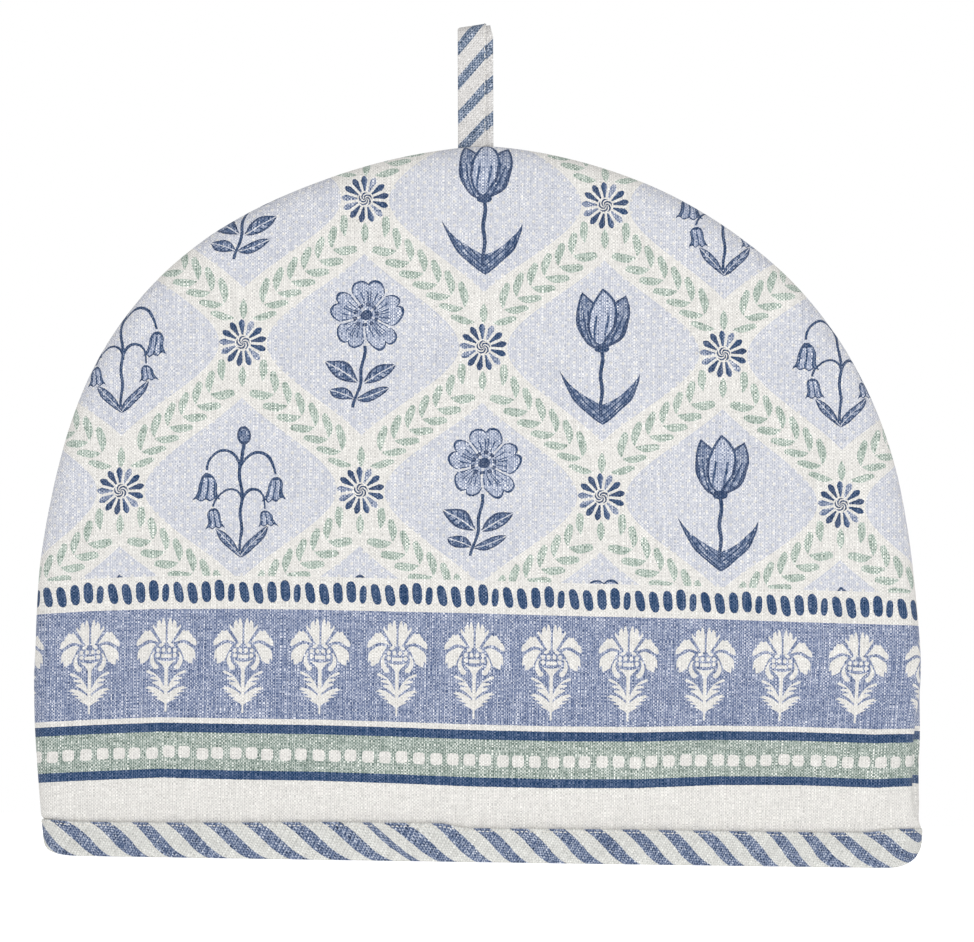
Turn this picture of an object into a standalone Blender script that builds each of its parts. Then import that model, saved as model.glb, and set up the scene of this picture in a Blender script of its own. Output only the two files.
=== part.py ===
"""A padded tea cosy, standing on its hem.

Two dome-shaped panels of printed cloth over wadding are sewn together round their curved
edge, face to face, and turned out. A striped bias strip is folded over the raw hem and runs
round it in one ring. A folded piece of the same strip is caught in the seam at the crown as
a hanging loop.

Metres, +Z up. The front faces -Y and the seam runs from end to end along X. The origin is
on the surface that the hem rests on, under the middle of the cosy.
"""

import math

import bmesh
import bpy
import numpy as np

MM = 0.001

# The dome, as seen from the front
HALF_WIDTH = 171.0 * MM  # of the curve that the outline follows
CROWN_HEIGHT = 274.7 * MM  # top of the seam above the surface
OUTLINE_FOOT = 50.6 * MM  # the curve's widest level lies this far below the surface
OUTLINE_RISE_POWER = 4.97
OUTLINE_SPAN_POWER = 1.629
FOOT_TAPER = 2.1 * MM  # the sides draw in this much from TAPER_HEIGHT down to the hem
TAPER_HEIGHT = 70.0 * MM
SHOULDER_HEIGHT = 226.0 * MM  # below it a grid column's end lies on a side, above it on the top
CENTRE_SHIFT = 0.3 * MM
LEAN = 3.2 * MM  # the dome leans this far to the left, most at two thirds of its height
HEM_SWING = 2.2 * MM  # and its hem swings this far back to the right
HEM_SWING_HEIGHT = 45.0 * MM

# The panels
SEAM_GAP = 0.3 * MM  # between touching pieces
LOFT = 5.0 * MM  # thickness of the padded cloth
HEM_LOFT = 2.6 * MM  # its thickness where the binding squeezes it
ROLL_WIDTH = 7.0 * MM  # over which the cloth rolls down to the seam
SEAM_ALLOWANCE = 7.0 * MM  # turned in along the seam, where the two panels touch
SPREAD = 38.0 * MM  # how far each panel stands off the seam at the middle of the hem
SPREAD_ACROSS_POWER = 0.9
SPREAD_UP_POWER = 2.4
SPREAD_UP_ROUNDNESS = 0.85
ROW_BOW = 2.0  # grid rows are level at the hem and follow the outline at the crown

# The binding over the hem
BINDING_HEIGHT = 13.5 * MM
BINDING_INNER_HEIGHT = 12.8 * MM
BINDING_THICKNESS = 1.4 * MM
BINDING_FLOOR = 1.9 * MM  # cloth under the panels' raw edges
BINDING_CLEARANCE = 0.45 * MM  # between the strip and each side of the panels
BINDING_SOFTENING = 1.2 * MM  # of the edges that meet the surface
RELEASE_START = 14.4 * MM  # above this height the wadding swells back to its full loft
RELEASE_END = 21.0 * MM
LIFT_FADE_START = 4.0 * MM
CORNERS = {"left": (12.0 * MM, 4.5 * MM), "right": (11.0 * MM, 7.5 * MM)}  # length, rise

# The hanging loop
LOOP_X = -4.3 * MM
LOOP_WIDTH = 13.6 * MM
LOOP_THICKNESS = 1.8 * MM
LOOP_TOP = 321.2 * MM
LOOP_GAP = 8.0 * MM  # between the middles of its legs, under the fold
LOOP_TAIL_SPACING = 2.2 * MM  # between the middles of its legs, inside the seam
LOOP_TAIL_END = 267.6 * MM
LOOP_SLANT = 0.14  # rise of the fold across the strip's width
LOOP_LEAN = -0.028  # sideways drift with height
RECESS_MARGIN = 0.5 * MM  # the seam is parted this far past each edge of the strip
RECESS_FADE = 5.0 * MM
RECESS_START = 248.0 * MM
RECESS_FULL = 265.0 * MM

# Resolution
COLUMNS_PER_SIDE = 17
ROWS_ABOVE_HEM = 17
HEM_ROWS = (3.9 * MM, 8.0 * MM, 14.2 * MM, 16.5 * MM, 19.5 * MM, 23.0 * MM)
HEM_EDGE = HEM_ROWS[0]
OUTLINE_SAMPLES = 240
LEG_STEPS = 9
FOLD_STEPS = 10

COLOURS = {
    "printed_cloth": (0.50, 0.54, 0.62, 1.0),
    "striped_strip": (0.42, 0.47, 0.55, 1.0),
}


def smooth(low, high, value):
    """0 below low, 1 above high, and an even S-curve between."""
    share = np.clip((value - low) / (high - low), 0, 1)
    return share * share * (3 - 2 * share)


def outline_half_width(z):
    """Half the finished width of the cosy at height z."""
    rise = np.clip((z + OUTLINE_FOOT) / (CROWN_HEIGHT + OUTLINE_FOOT), 0, 1)
    dome = HALF_WIDTH * (1 - rise**OUTLINE_RISE_POWER) ** (1 / OUTLINE_SPAN_POWER)
    return dome - FOOT_TAPER * np.clip(1 - z / TAPER_HEIGHT, 0, 1)


def outline_height(x):
    """Height of the outline over a point x from the middle."""
    span = np.clip(np.abs(x) / HALF_WIDTH, 0, 1)
    rise = (1 - span**OUTLINE_SPAN_POWER) ** (1 / OUTLINE_RISE_POWER)
    return rise * (CROWN_HEIGHT + OUTLINE_FOOT) - OUTLINE_FOOT


def centre_offset(z):
    """How far the middle of the dome lies from the middle of the cosy at height z."""
    lean = -LEAN * np.sin(math.pi * np.clip(z / CROWN_HEIGHT, 0, 1) ** 1.3)
    return CENTRE_SHIFT + lean + HEM_SWING * (1 - smooth(0, HEM_SWING_HEIGHT, z))


def squeeze(z):
    """1 where the binding holds the panels flat, 0 where the wadding has its full loft."""
    return 1 - smooth(RELEASE_START, RELEASE_END, z)


def panel_half_width(z):
    """Half the width of a panel, which stops short under the binding."""
    return outline_half_width(z) - (BINDING_THICKNESS + BINDING_CLEARANCE) * squeeze(z)


def row_height(t):
    """Height of a grid row at the sides."""
    return HEM_EDGE + t * (SHOULDER_HEIGHT - HEM_EDGE)


def row_at(z):
    """The grid row that lies at height z, near the hem."""
    return (z - HEM_EDGE) / (SHOULDER_HEIGHT - HEM_EDGE)


def panel_plan(s, t):
    """Where grid point (s, t) of a panel falls, seen from the front and before the lean.

    s runs from -1 to 1 across the panel, and t from 0 at the hem to 1 at the crown.
    """
    side = row_height(t)
    shoulder_x = s * outline_half_width(SHOULDER_HEIGHT)
    bow = outline_height(shoulder_x) - SHOULDER_HEIGHT
    return s * panel_half_width(side), side + np.clip(t, 0, 1) ** ROW_BOW * bow


def panel_outline():
    """Points along the panel's sewn edge, from the left of the hem over the crown."""
    sides = np.linspace(0, 1, OUTLINE_SAMPLES)
    ends = np.ones(OUTLINE_SAMPLES)
    left = np.stack(panel_plan(-ends, sides), axis=1)
    top = np.stack(panel_plan(np.linspace(-1, 1, OUTLINE_SAMPLES), ends), axis=1)
    return np.concatenate([left, top, left[::-1] * (-1, 1)])


def edge_distance(x, z):
    """Distance of each point from the panel's sewn edge, seen from the front."""
    points = np.stack([x, z], axis=-1)[..., None, :]
    return np.sqrt(((points - panel_outline()) ** 2).sum(axis=-1)).min(axis=-1)


def stand_off(s, t):
    """Share of SPREAD by which the cloth stands off the seam: 1 at the middle of the hem."""
    across = np.clip(1 - s**2, 0, 1) ** SPREAD_ACROSS_POWER
    return across * (1 - np.clip(t, 0, 1) ** SPREAD_UP_POWER) ** SPREAD_UP_ROUNDNESS


def seam_parting(x, z):
    """Half the gap between the two panels: wide round the loop's tail, else a hair."""
    beside = np.abs(x - (LOOP_X - centre_offset(CROWN_HEIGHT)))
    flat = LOOP_WIDTH / 2 + RECESS_MARGIN
    near = (1 - smooth(flat, flat + RECESS_FADE, beside)) * smooth(RECESS_START, RECESS_FULL, z)
    tail = (LOOP_TAIL_SPACING + LOOP_THICKNESS) / 2 + SEAM_GAP
    return SEAM_GAP / 2 + (tail - SEAM_GAP / 2) * near


def outer_surface(s, t):
    """(x, distance off the seam, z) of the panel's printed side."""
    x, z = panel_plan(s, t)
    roll = np.clip(edge_distance(x, z) / ROLL_WIDTH, 0, 1)
    loft = LOFT + (HEM_LOFT - LOFT) * squeeze(z)
    away = seam_parting(x, z) + loft * np.sqrt(1 - (1 - roll) ** 2) + SPREAD * stand_off(s, t)
    return x, away, z


def inner_surface(s, t):
    """(x, distance off the seam, z) of the side that faces the pot."""
    x, z = panel_plan(s, t)
    x = x * (1 - SEAM_ALLOWANCE / HALF_WIDTH)
    z = HEM_EDGE + (z - HEM_EDGE) * (1 - SEAM_ALLOWANCE / CROWN_HEIGHT)
    return x, seam_parting(x, z) + SPREAD * stand_off(s, t), z


def corner_lift(s, z):
    """How far the hem's rounded corners lift a point off the surface."""
    from_end = (1 - np.abs(s)) * outline_half_width(HEM_EDGE)
    length, rise = (np.where(s < 0, *pair) for pair in zip(CORNERS["left"], CORNERS["right"]))
    along = np.clip(1 - from_end / length, 0, 1)
    fade = (BINDING_HEIGHT - z) / (BINDING_HEIGHT - LIFT_FADE_START)
    return rise * (1 - np.sqrt(1 - along**2)) * np.clip(fade, 0, 1)


def placed(x, y, z, s):
    """The point in its final place, with the corners' lift and the dome's lean."""
    height = z + corner_lift(s, z)
    return np.stack([x + centre_offset(height), y, height], axis=-1)


def grid_columns():
    """Values of s, closest together at the seams, with four more beside the loop."""
    even = np.linspace(-1, 1, 2 * COLUMNS_PER_SIDE + 1)
    spread = np.sign(even) * (1 - (1 - np.abs(even)) ** 2)
    middle = LOOP_X - centre_offset(CROWN_HEIGHT)
    flat = LOOP_WIDTH / 2 + RECESS_MARGIN
    beside = [middle + side * (flat + past) for side in (-1, 1) for past in (0, RECESS_FADE)]
    return np.sort(np.append(spread, np.array(beside) / outline_half_width(SHOULDER_HEIGHT)))


def grid_rows():
    """Values of t: the hem's own rows, then rows that crowd towards the crown."""
    hem = row_at(np.array(HEM_ROWS))
    share = np.linspace(0, 1, ROWS_ABOVE_HEM + 1)[1:]
    return np.append(hem, hem[-1] + (1 - hem[-1]) * (1 - (1 - share) ** 2))


def material(name):
    """A plain cloth material of one of the cosy's two colourings."""
    found = bpy.data.materials.get(name)
    if found:
        return found
    made = bpy.data.materials.new(name)
    made.use_nodes = True
    made.diffuse_color = COLOURS[name]
    shader = made.node_tree.nodes["Principled BSDF"]
    shader.inputs["Base Color"].default_value = COLOURS[name]
    shader.inputs["Roughness"].default_value = 0.9
    shader.inputs["Metallic"].default_value = 0.0
    return made


def finish(name, bm, material_name):
    """Makes the bmesh an object with its faces turned outwards."""
    bmesh.ops.recalc_face_normals(bm, faces=bm.faces)
    if bm.calc_volume(signed=True) < 0:
        bmesh.ops.reverse_faces(bm, faces=bm.faces)
    mesh = bpy.data.meshes.new(name)
    bm.to_mesh(mesh)
    bm.free()
    mesh.shade_smooth()
    mesh.set_sharp_from_angle(angle=math.radians(50))
    mesh.materials.append(material(material_name))
    obj = bpy.data.objects.new(name, mesh)
    bpy.context.scene.collection.objects.link(obj)
    return obj


def make_panel(name, facing):
    """One padded panel. facing is -1 for the front and 1 for the back."""
    columns, rows = grid_columns(), grid_rows()
    s, t = (grid.ravel() for grid in np.meshgrid(columns, rows))
    bm = bmesh.new()
    bmesh.ops.create_grid(bm, x_segments=len(columns) - 1, y_segments=len(rows) - 1, size=1)
    layers = [sorted(bm.verts, key=lambda vert: (round(vert.co.y, 4), vert.co.x))]
    extruded = bmesh.ops.extrude_face_region(bm, geom=bm.faces[:], use_keep_orig=True)["geom"]
    inside = [item for item in extruded if isinstance(item, bmesh.types.BMVert)]
    layers.append(sorted(inside, key=lambda vert: (round(vert.co.y, 4), vert.co.x)))
    for verts, surface in zip(layers, (outer_surface, inner_surface)):
        x, away, z = surface(s, t)
        for vert, place in zip(verts, placed(x, facing * away, z, s)):
            vert.co = place
    return finish(name, bm, "printed_cloth")


def offset_ring(x, away, distance):
    """The closed ring round both panels through (x, -away) and (x, away), moved outwards."""
    front = np.stack([x, -away], axis=1)
    back = np.stack([x, away], axis=1)[::-1]
    front[[0, -1], 1] = 0
    ring = np.concatenate([front, back[1:-1]])
    along = np.roll(ring, -1, axis=0) - np.roll(ring, 1, axis=0)
    normal = np.stack([along[:, 1], -along[:, 0]], axis=1)
    return ring + distance * normal / np.linalg.norm(normal, axis=1, keepdims=True)


def outer_ring(columns, z, distance):
    """Ring at height z, this far outside the panels' printed sides."""
    x, away, _ = outer_surface(columns, np.full_like(columns, row_at(z)))
    return offset_ring(x, away, distance)


def inner_ring(columns, z, distance):
    """Ring at height z, this far inside the panels, blunt where their inner sides meet."""
    blunt = SEAM_GAP
    left_over = (distance + blunt) / SPREAD
    end = math.sqrt(1 - left_over ** (1 / SPREAD_ACROSS_POWER))
    x, away, _ = inner_surface(columns * end, np.full_like(columns, row_at(z)))
    return offset_ring(x, np.maximum(away - distance, blunt), 0)


def make_binding(name):
    """The strip folded over the hem: a channel section carried round both panels."""
    columns = grid_columns()
    near, far = BINDING_CLEARANCE, BINDING_CLEARANCE + BINDING_THICKNESS
    foot = far - BINDING_SOFTENING
    middle = BINDING_HEIGHT / 2
    section = (
        (outer_ring, far, BINDING_HEIGHT),
        (outer_ring, far, middle),
        (outer_ring, far, BINDING_SOFTENING),
        (outer_ring, foot, 0),
        (inner_ring, foot, 0),
        (inner_ring, far, BINDING_SOFTENING),
        (inner_ring, far, BINDING_INNER_HEIGHT),
        (inner_ring, near, BINDING_INNER_HEIGHT),
        (inner_ring, near, BINDING_FLOOR),
        (outer_ring, near, BINDING_FLOOR),
        (outer_ring, near, BINDING_HEIGHT),
    )
    around = np.append(columns, columns[-2:0:-1])
    bm = bmesh.new()
    rings = []
    for ring, distance, z in section:
        flat = ring(columns, z, distance)
        places = placed(flat[:, 0], flat[:, 1], np.full(len(flat), z), around)
        rings.append([bm.verts.new(place) for place in places])
    for first, second in zip(rings, rings[1:] + rings[:1]):
        for here, ahead in zip(range(-1, len(around) - 1), range(len(around))):
            bm.faces.new((first[here], first[ahead], second[ahead], second[here]))
    return finish(name, bm, "striped_strip")


def loop_centre_line():
    """(y, z) along the middle of the loop's strip, up the front leg and down the back."""
    tail, half = LOOP_TAIL_SPACING / 2, LOOP_GAP / 2
    fold_centre = LOOP_TOP - LOOP_THICKNESS / 2 - half
    leg = np.linspace(0, 1, LEG_STEPS)
    y = tail + (half - tail) * smooth(0, 1, leg**0.8)
    z = CROWN_HEIGHT + leg * (fold_centre - CROWN_HEIGHT)
    turn = np.linspace(0, math.pi, FOLD_STEPS + 1)[1:-1]
    front = np.stack([np.append(tail, y) * -1, np.append(LOOP_TAIL_END, z)], axis=1)
    fold = np.stack([-half * np.cos(turn), fold_centre + half * np.sin(turn)], axis=1)
    return np.concatenate([front, fold, front[::-1] * (-1, 1)])


def make_loop(name):
    """The hanging loop: its section, drawn once from the side, extruded across its width."""
    line = loop_centre_line()
    along = np.gradient(line, axis=0)
    normal = np.stack([-along[:, 1], along[:, 0]], axis=1)
    normal *= LOOP_THICKNESS / 2 / np.linalg.norm(normal, axis=1, keepdims=True)
    section = np.concatenate([line + normal, (line - normal)[::-1]])
    bm = bmesh.new()
    corner = LOOP_X - LOOP_WIDTH / 2
    face = bm.faces.new([bm.verts.new((corner, y, z)) for y, z in section])
    across = bmesh.ops.extrude_face_region(bm, geom=[face], use_keep_orig=True)["geom"]
    moved = [item for item in across if isinstance(item, bmesh.types.BMVert)]
    bmesh.ops.translate(bm, verts=moved, vec=(LOOP_WIDTH, 0, 0))
    for vert in bm.verts:
        above = max(vert.co.z - CROWN_HEIGHT, 0)
        rise = LOOP_SLANT * (vert.co.x - LOOP_X) * above / (LOOP_TOP - CROWN_HEIGHT)
        vert.co.x += LOOP_LEAN * above
        vert.co.z += rise
    return finish(name, bm, "striped_strip")


def main():
    """Clears the scene and makes the cosy's four pieces."""
    for obj in list(bpy.data.objects):
        bpy.data.objects.remove(obj)
    make_panel("front_panel", -1)
    make_panel("back_panel", 1)
    make_binding("hem_binding")
    make_loop("hanging_loop")


main()
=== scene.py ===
"""A padded tea cosy of printed cloth, with a striped binding and a striped hanging loop.

Two dome-shaped panels of slubby printed cloth over wadding meet in a turned seam. A bias strip
is folded over the hem and stitched down all the way round, and a short length of the same
strip, folded and stitched, stands in the seam at the crown as a hanging loop.

Lengths are in millimetres in the classes below and turn into metres in the meshes.
"""

import logging
import math
import random
from dataclasses import dataclass, field
from enum import Enum
from typing import Any, Callable, Mapping, Sequence, Union

import bmesh
import bpy
import numpy as np
from mathutils import Matrix, Vector


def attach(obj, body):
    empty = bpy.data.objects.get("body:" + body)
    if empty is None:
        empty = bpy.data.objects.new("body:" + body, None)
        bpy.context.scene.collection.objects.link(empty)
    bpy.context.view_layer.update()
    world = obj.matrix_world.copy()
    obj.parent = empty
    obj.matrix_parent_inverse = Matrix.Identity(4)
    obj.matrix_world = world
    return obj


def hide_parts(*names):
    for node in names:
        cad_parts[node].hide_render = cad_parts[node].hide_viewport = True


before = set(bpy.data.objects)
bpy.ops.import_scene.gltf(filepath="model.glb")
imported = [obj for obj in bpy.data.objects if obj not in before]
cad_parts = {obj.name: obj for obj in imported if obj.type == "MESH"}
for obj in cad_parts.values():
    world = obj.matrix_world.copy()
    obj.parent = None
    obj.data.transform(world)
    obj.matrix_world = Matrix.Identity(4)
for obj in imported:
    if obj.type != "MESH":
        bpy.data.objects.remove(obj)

LOG = logging.getLogger("tea_cosy")
MM = 0.001
CLOTH_MAP = "cloth"
WELD = 0.001 * MM  # vertices closer than this are one
SHARP = math.radians(60)  # edges that turn by more than this stay crisp
OUTLINE_REACH = 40.0  # no printed outline's edge lies further aside than this
STITCH_LIFT = 0.02  # how far the middle of a stitch lies above the cloth
Colour = tuple[float, ...]
Pair = tuple[float, float]
Curve = Sequence[Pair]
Number = Union["Signal", float]
Plug = Union["Signal", float, tuple[float, ...]]


def dyed(*shades: int) -> Colour:
    """A linear colour from its red, green and blue display values, 0 to 255."""
    shares = [value / 255 for value in shades]
    return (*(c / 12.92 if c <= 0.04045 else ((c + 0.055) / 1.055) ** 2.4 for c in shares), 1.0)


def smooth(low: float, high: float, value: np.ndarray) -> np.ndarray:
    """0 below low, 1 above high, and an even S-curve between."""
    share = np.clip((value - low) / (high - low), 0, 1)
    return share * share * (3 - 2 * share)


def rounded(share: np.ndarray) -> np.ndarray:
    """A quarter round's height, from 0 at share 0 to 1 at share 1 and past it."""
    return np.sqrt(1 - (1 - np.clip(share, 0, 1)) ** 2)


def read_off(curve: Curve, place: np.ndarray) -> np.ndarray:
    """A curve's value at each place."""
    return np.interp(place, *np.array(curve).T)


def runs(line: np.ndarray) -> np.ndarray:
    """Millimetres along a line at each of its points."""
    steps = np.linalg.norm(np.diff(line, axis=0), axis=1)
    return np.concatenate([[0.0], np.cumsum(steps)])


def beside(line: np.ndarray, distance: float) -> np.ndarray:
    """A flat open line, moved to its right."""
    right = np.gradient(line, axis=0)[:, ::-1] * (1, -1)
    return line + right * (distance / np.linalg.norm(right, axis=1, keepdims=True))


# ---------------------------------------------------------------------------
# Shader maths


def maths(operation: str, backwards: bool = False) -> Callable[..., "Signal"]:
    """Makes a method of Signal that adds one Math node.

    Args:
        operation: What the node does.
        backwards: True if the signal is the node's last number, not its first.

    Returns:
        The method, which takes the node's other numbers.
    """

    def apply(signal: "Signal", *others: Number) -> "Signal":
        """Adds the node."""
        operands = (*others, signal) if backwards else (signal, *others)
        return signal.paint.out("Math", {"operation": operation}, dict(enumerate(operands)))

    return apply


class Signal:
    """What varies over a surface: one node output, a number where nothing else is said.

    A comparison is a mask, 1 where it holds and 0 elsewhere. The | of two masks is their union,
    or the greater of two numbers, and & is their overlap, or the lesser.
    """

    __add__ = __radd__ = maths("ADD")
    __sub__ = maths("SUBTRACT")
    __rsub__ = maths("SUBTRACT", backwards=True)
    __mul__ = __rmul__ = maths("MULTIPLY")
    __truediv__ = maths("DIVIDE")
    __pow__ = maths("POWER")
    __abs__ = maths("ABSOLUTE")
    __lt__ = maths("LESS_THAN")
    __gt__ = maths("GREATER_THAN")
    __or__ = maths("MAXIMUM")
    __and__ = maths("MINIMUM")
    sine, cosine, arctan2 = maths("SINE"), maths("COSINE"), maths("ARCTAN2")
    floor, fraction, modulo = maths("FLOOR"), maths("FRACT"), maths("MODULO")
    pingpong, wrap, compare = maths("PINGPONG"), maths("WRAP"), maths("COMPARE")
    times_plus, root = maths("MULTIPLY_ADD"), maths("SQRT")

    def __init__(self, paint: "Paint", socket: bpy.types.NodeSocket) -> None:
        """Keeps the output and the material that it belongs to."""
        self.paint = paint
        self.socket = socket

    def between(self, low: float, high: float) -> "Signal":
        """A mask of where this lies between two limits."""
        return self.compare((low + high) / 2, (high - low) / 2)

    def eased(self, start: float, end: float, low: float = 0.0, high: float = 1.0) -> "Signal":
        """This carried smoothly from the range start to end into the range low to high."""
        sockets = {0: self, 1: start, 2: end, 3: low, 4: high}
        return self.paint.out("MapRange", {"interpolation_type": "SMOOTHSTEP"}, sockets)

    def curve(self, points: Curve, handles: str = "AUTO") -> "Signal":
        """This read off a drawn curve, whose handles may be AUTO or VECTOR."""
        return self.paint.out("FloatCurve", {handles: points}, {1: self})

    def chance(self) -> "Signal":
        """A random vector that stays the same for each whole number."""
        return self.paint.out("TexWhiteNoise", {"noise_dimensions": "1D"}, {"W": self}, 1)

    def joined(self, other: "Signal") -> "Signal":
        """The vector made of this and another number."""
        return self.paint.out("CombineXYZ", {}, {0: self, 1: other})

    def blend(self, below: Plug, above: Plug) -> "Signal":
        """The colour below with the one above laid over it by this share."""
        settings = {"data_type": "RGBA", "clamp_factor": True}
        return self.paint.out("Mix", settings, {0: self, 6: below, 7: above}, 2)

    def pick(self, first: "Signal", second: "Signal") -> "Signal":
        """The first vector where this mask is 0 and the second where it is 1."""
        return self.paint.out("Mix", {"data_type": "VECTOR"}, {0: self, 4: first, 5: second}, 1)

    def tint(self, colour: Plug) -> "Signal":
        """A colour times this number."""
        return self.paint.out("VectorMath", {"operation": "SCALE"}, {0: colour, 3: self})

    def scaled(self, factor: float) -> "Signal":
        """This vector times a number."""
        return self.paint.out("VectorMath", {"operation": "SCALE"}, {0: self, 3: factor})

    def vector(self, operation: str, *others: Plug, result: int = 0) -> "Signal":
        """A Vector Math node on this vector and others: its vector, or as result 1 its number."""
        sockets = dict(enumerate((self, *others)))
        return self.paint.out("VectorMath", {"operation": operation}, sockets, result)

    def length(self) -> "Signal":
        """This vector's length."""
        return self.vector("LENGTH", result=1)

    def parts(self) -> tuple["Signal", "Signal"]:
        """This vector's first two numbers."""
        x, y, _ = self.paint.outs("SeparateXYZ", {}, {0: self})
        return x, y

    def local(self, centre: Pair, degrees: float = 0.0, size: Pair = (1.0, 1.0)) -> "Signal":
        """This place about a centre, along turned axes and in units of size.

        Args:
            centre: Where the new place is zero.
            degrees: How far its axes are turned, anticlockwise.
            size: What it counts as 1 along each axis.

        Returns:
            The new place.
        """
        turn = (0.0, 0.0, math.radians(degrees))
        sockets = {0: self, 1: (*centre, 0.0), 2: turn, 3: (*size, 1.0)}
        return self.paint.out("Mapping", {"vector_type": "TEXTURE"}, sockets)

    def oval(self, centre: Pair, size: Pair, degrees: float = 0.0) -> "Signal":
        """How far out of an oval's centre this place is, the oval's rim being 1."""
        return self.local(centre, degrees, size).length()

    def noise(self, detail: float = 0.0, roughness: float = 0.5, result: int = 0) -> "Signal":
        """Noise with grains about 1 unit across: a number, or as result 1 a vector."""
        sockets = {"Vector": self, "Scale": 1.0, "Detail": detail, "Roughness": roughness}
        return self.paint.out("TexNoise", {"noise_dimensions": "2D"}, sockets, result)

    def shaken(self, drift: "Signal", reach: tuple[float, float, float]) -> "Signal":
        """This place, moved about as far as reach by a noise vector."""
        return drift.vector("SUBTRACT", (0.5, 0.5, 0.5)).vector("MULTIPLY_ADD", reach, self)


class Paint:
    """Builds one material's nodes."""

    def __init__(self, name: str) -> None:
        """Makes an empty material.

        Args:
            name: The material's name.
        """
        self.material = bpy.data.materials.new(name)
        self.material.use_nodes = True
        self.tree = self.material.node_tree
        self.tree.nodes.clear()

    def node(
        self, kind: str, settings: Mapping[str, Any], sockets: Mapping[Union[int, str], Plug]
    ) -> bpy.types.Node:
        """Adds one node.

        Args:
            kind: The node's type, less its first word.
            settings: Its properties, set first. "stops" fills a smooth ramp and "steps" one of
                flat steps. "AUTO" and "VECTOR" fill a curve, with handles of that type.
            sockets: Its inputs' values or links, by name or place.

        Returns:
            The node.
        """
        made = self.tree.nodes.new("ShaderNode" + kind)
        for key, value in settings.items():
            if key in ("stops", "steps"):
                self._set_ramp(made.color_ramp, value, key == "steps")
            elif key in ("AUTO", "VECTOR"):
                self._set_curve(made.mapping, value, key)
            else:
                setattr(made, key, value)
        for key, value in sockets.items():
            if isinstance(value, Signal):
                self.tree.links.new(value.socket, made.inputs[key])
            else:
                made.inputs[key].default_value = value
        return made

    @staticmethod
    def _set_ramp(
        ramp: bpy.types.ColorRamp, stops: Sequence[tuple[float, Colour]], flat: bool
    ) -> None:
        """Fills a colour ramp.

        Args:
            ramp: The ramp.
            stops: Each stop's position and colour, in order.
            flat: True if each colour holds as far as the next stop.
        """
        while len(ramp.elements) < len(stops):
            ramp.elements.new(1.0)
        for element, (position, colour) in zip(ramp.elements, stops):
            element.position = position
            element.color = colour
        if flat:
            ramp.interpolation = "CONSTANT"

    @staticmethod
    def _set_curve(mapping: bpy.types.CurveMapping, places: Curve, handles: str) -> None:
        """Fills a float curve.

        Args:
            mapping: The node's curve mapping.
            places: The curve's points, in order.
            handles: Their handles' type.
        """
        points = mapping.curves[0].points
        for place in places[1:-1]:
            points.new(*place)
        for point, place in zip(points, places):
            point.location = place
            point.handle_type = handles
        mapping.update()

    def outs(self, *node: Any) -> list[Signal]:
        """All the outputs of a new node."""
        return [Signal(self, socket) for socket in self.node(*node).outputs]

    def out(
        self,
        kind: str,
        settings: Mapping[str, Any],
        sockets: Mapping[Union[int, str], Plug],
        result: Union[int, str] = 0,
    ) -> Signal:
        """One output of a new node."""
        return Signal(self, self.node(kind, settings, sockets).outputs[result])

    def cloth_place(self) -> Signal:
        """The place on the cloth in millimetres, from the piece's own map."""
        return self.out("UVMap", {"uv_map": CLOTH_MAP}, {}).scaled(1 / MM)

    def surface(self, shader: str, sockets: Mapping[Union[int, str], Plug]) -> bpy.types.Material:
        """The material, ended in a shader."""
        self.node("OutputMaterial", {}, {"Surface": self.out(shader, {}, sockets)})
        return self.material

    def cloth(
        self, colour: Signal, relief: Signal, depth: float, roughness: float
    ) -> bpy.types.Material:
        """The material, ended in a soft shader with the weave's relief as bump.

        Args:
            colour: The surface colour.
            relief: The weave's height, from 0 to 1.
            depth: What a height of 1 is, in millimetres.
            roughness: The surface's roughness.

        Returns:
            The material.
        """
        bump = self.out("Bump", {}, {"Strength": 0.6, "Distance": depth * MM, "Height": relief})
        sockets = {
            "Base Color": colour,
            "Roughness": roughness,
            "Specular IOR Level": 0.15,
            "Sheen Weight": 0.08,
            "Sheen Roughness": 0.6,
            "Normal": bump,
        }
        return self.surface("BsdfPrincipled", sockets)


# ---------------------------------------------------------------------------
# Finishes


@dataclass(frozen=True)
class Outline:
    """A cut-out shape between two edges of straight lines, in millimetres."""

    near: Curve
    far: Curve

    def holds(self, along: Signal, aside: Signal) -> Signal:
        """A mask of the shape.

        Args:
            along: The place that the edges run over.
            aside: The place that they limit.

        Returns:
            1 between the edges, 0 outside them and past their ends.
        """
        start, end = self.near[0][0], self.near[-1][0]
        share = (along - start) / (end - start)
        edges = []
        for edge in (self.near, self.far):
            points = [((place - start) / (end - start), out / OUTLINE_REACH) for place, out in edge]
            edges.append(share.curve(points, "VECTOR") * OUTLINE_REACH)
        return (aside > edges[0]) & (aside < edges[1]) & share.between(0.0, 1.0)


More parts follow.
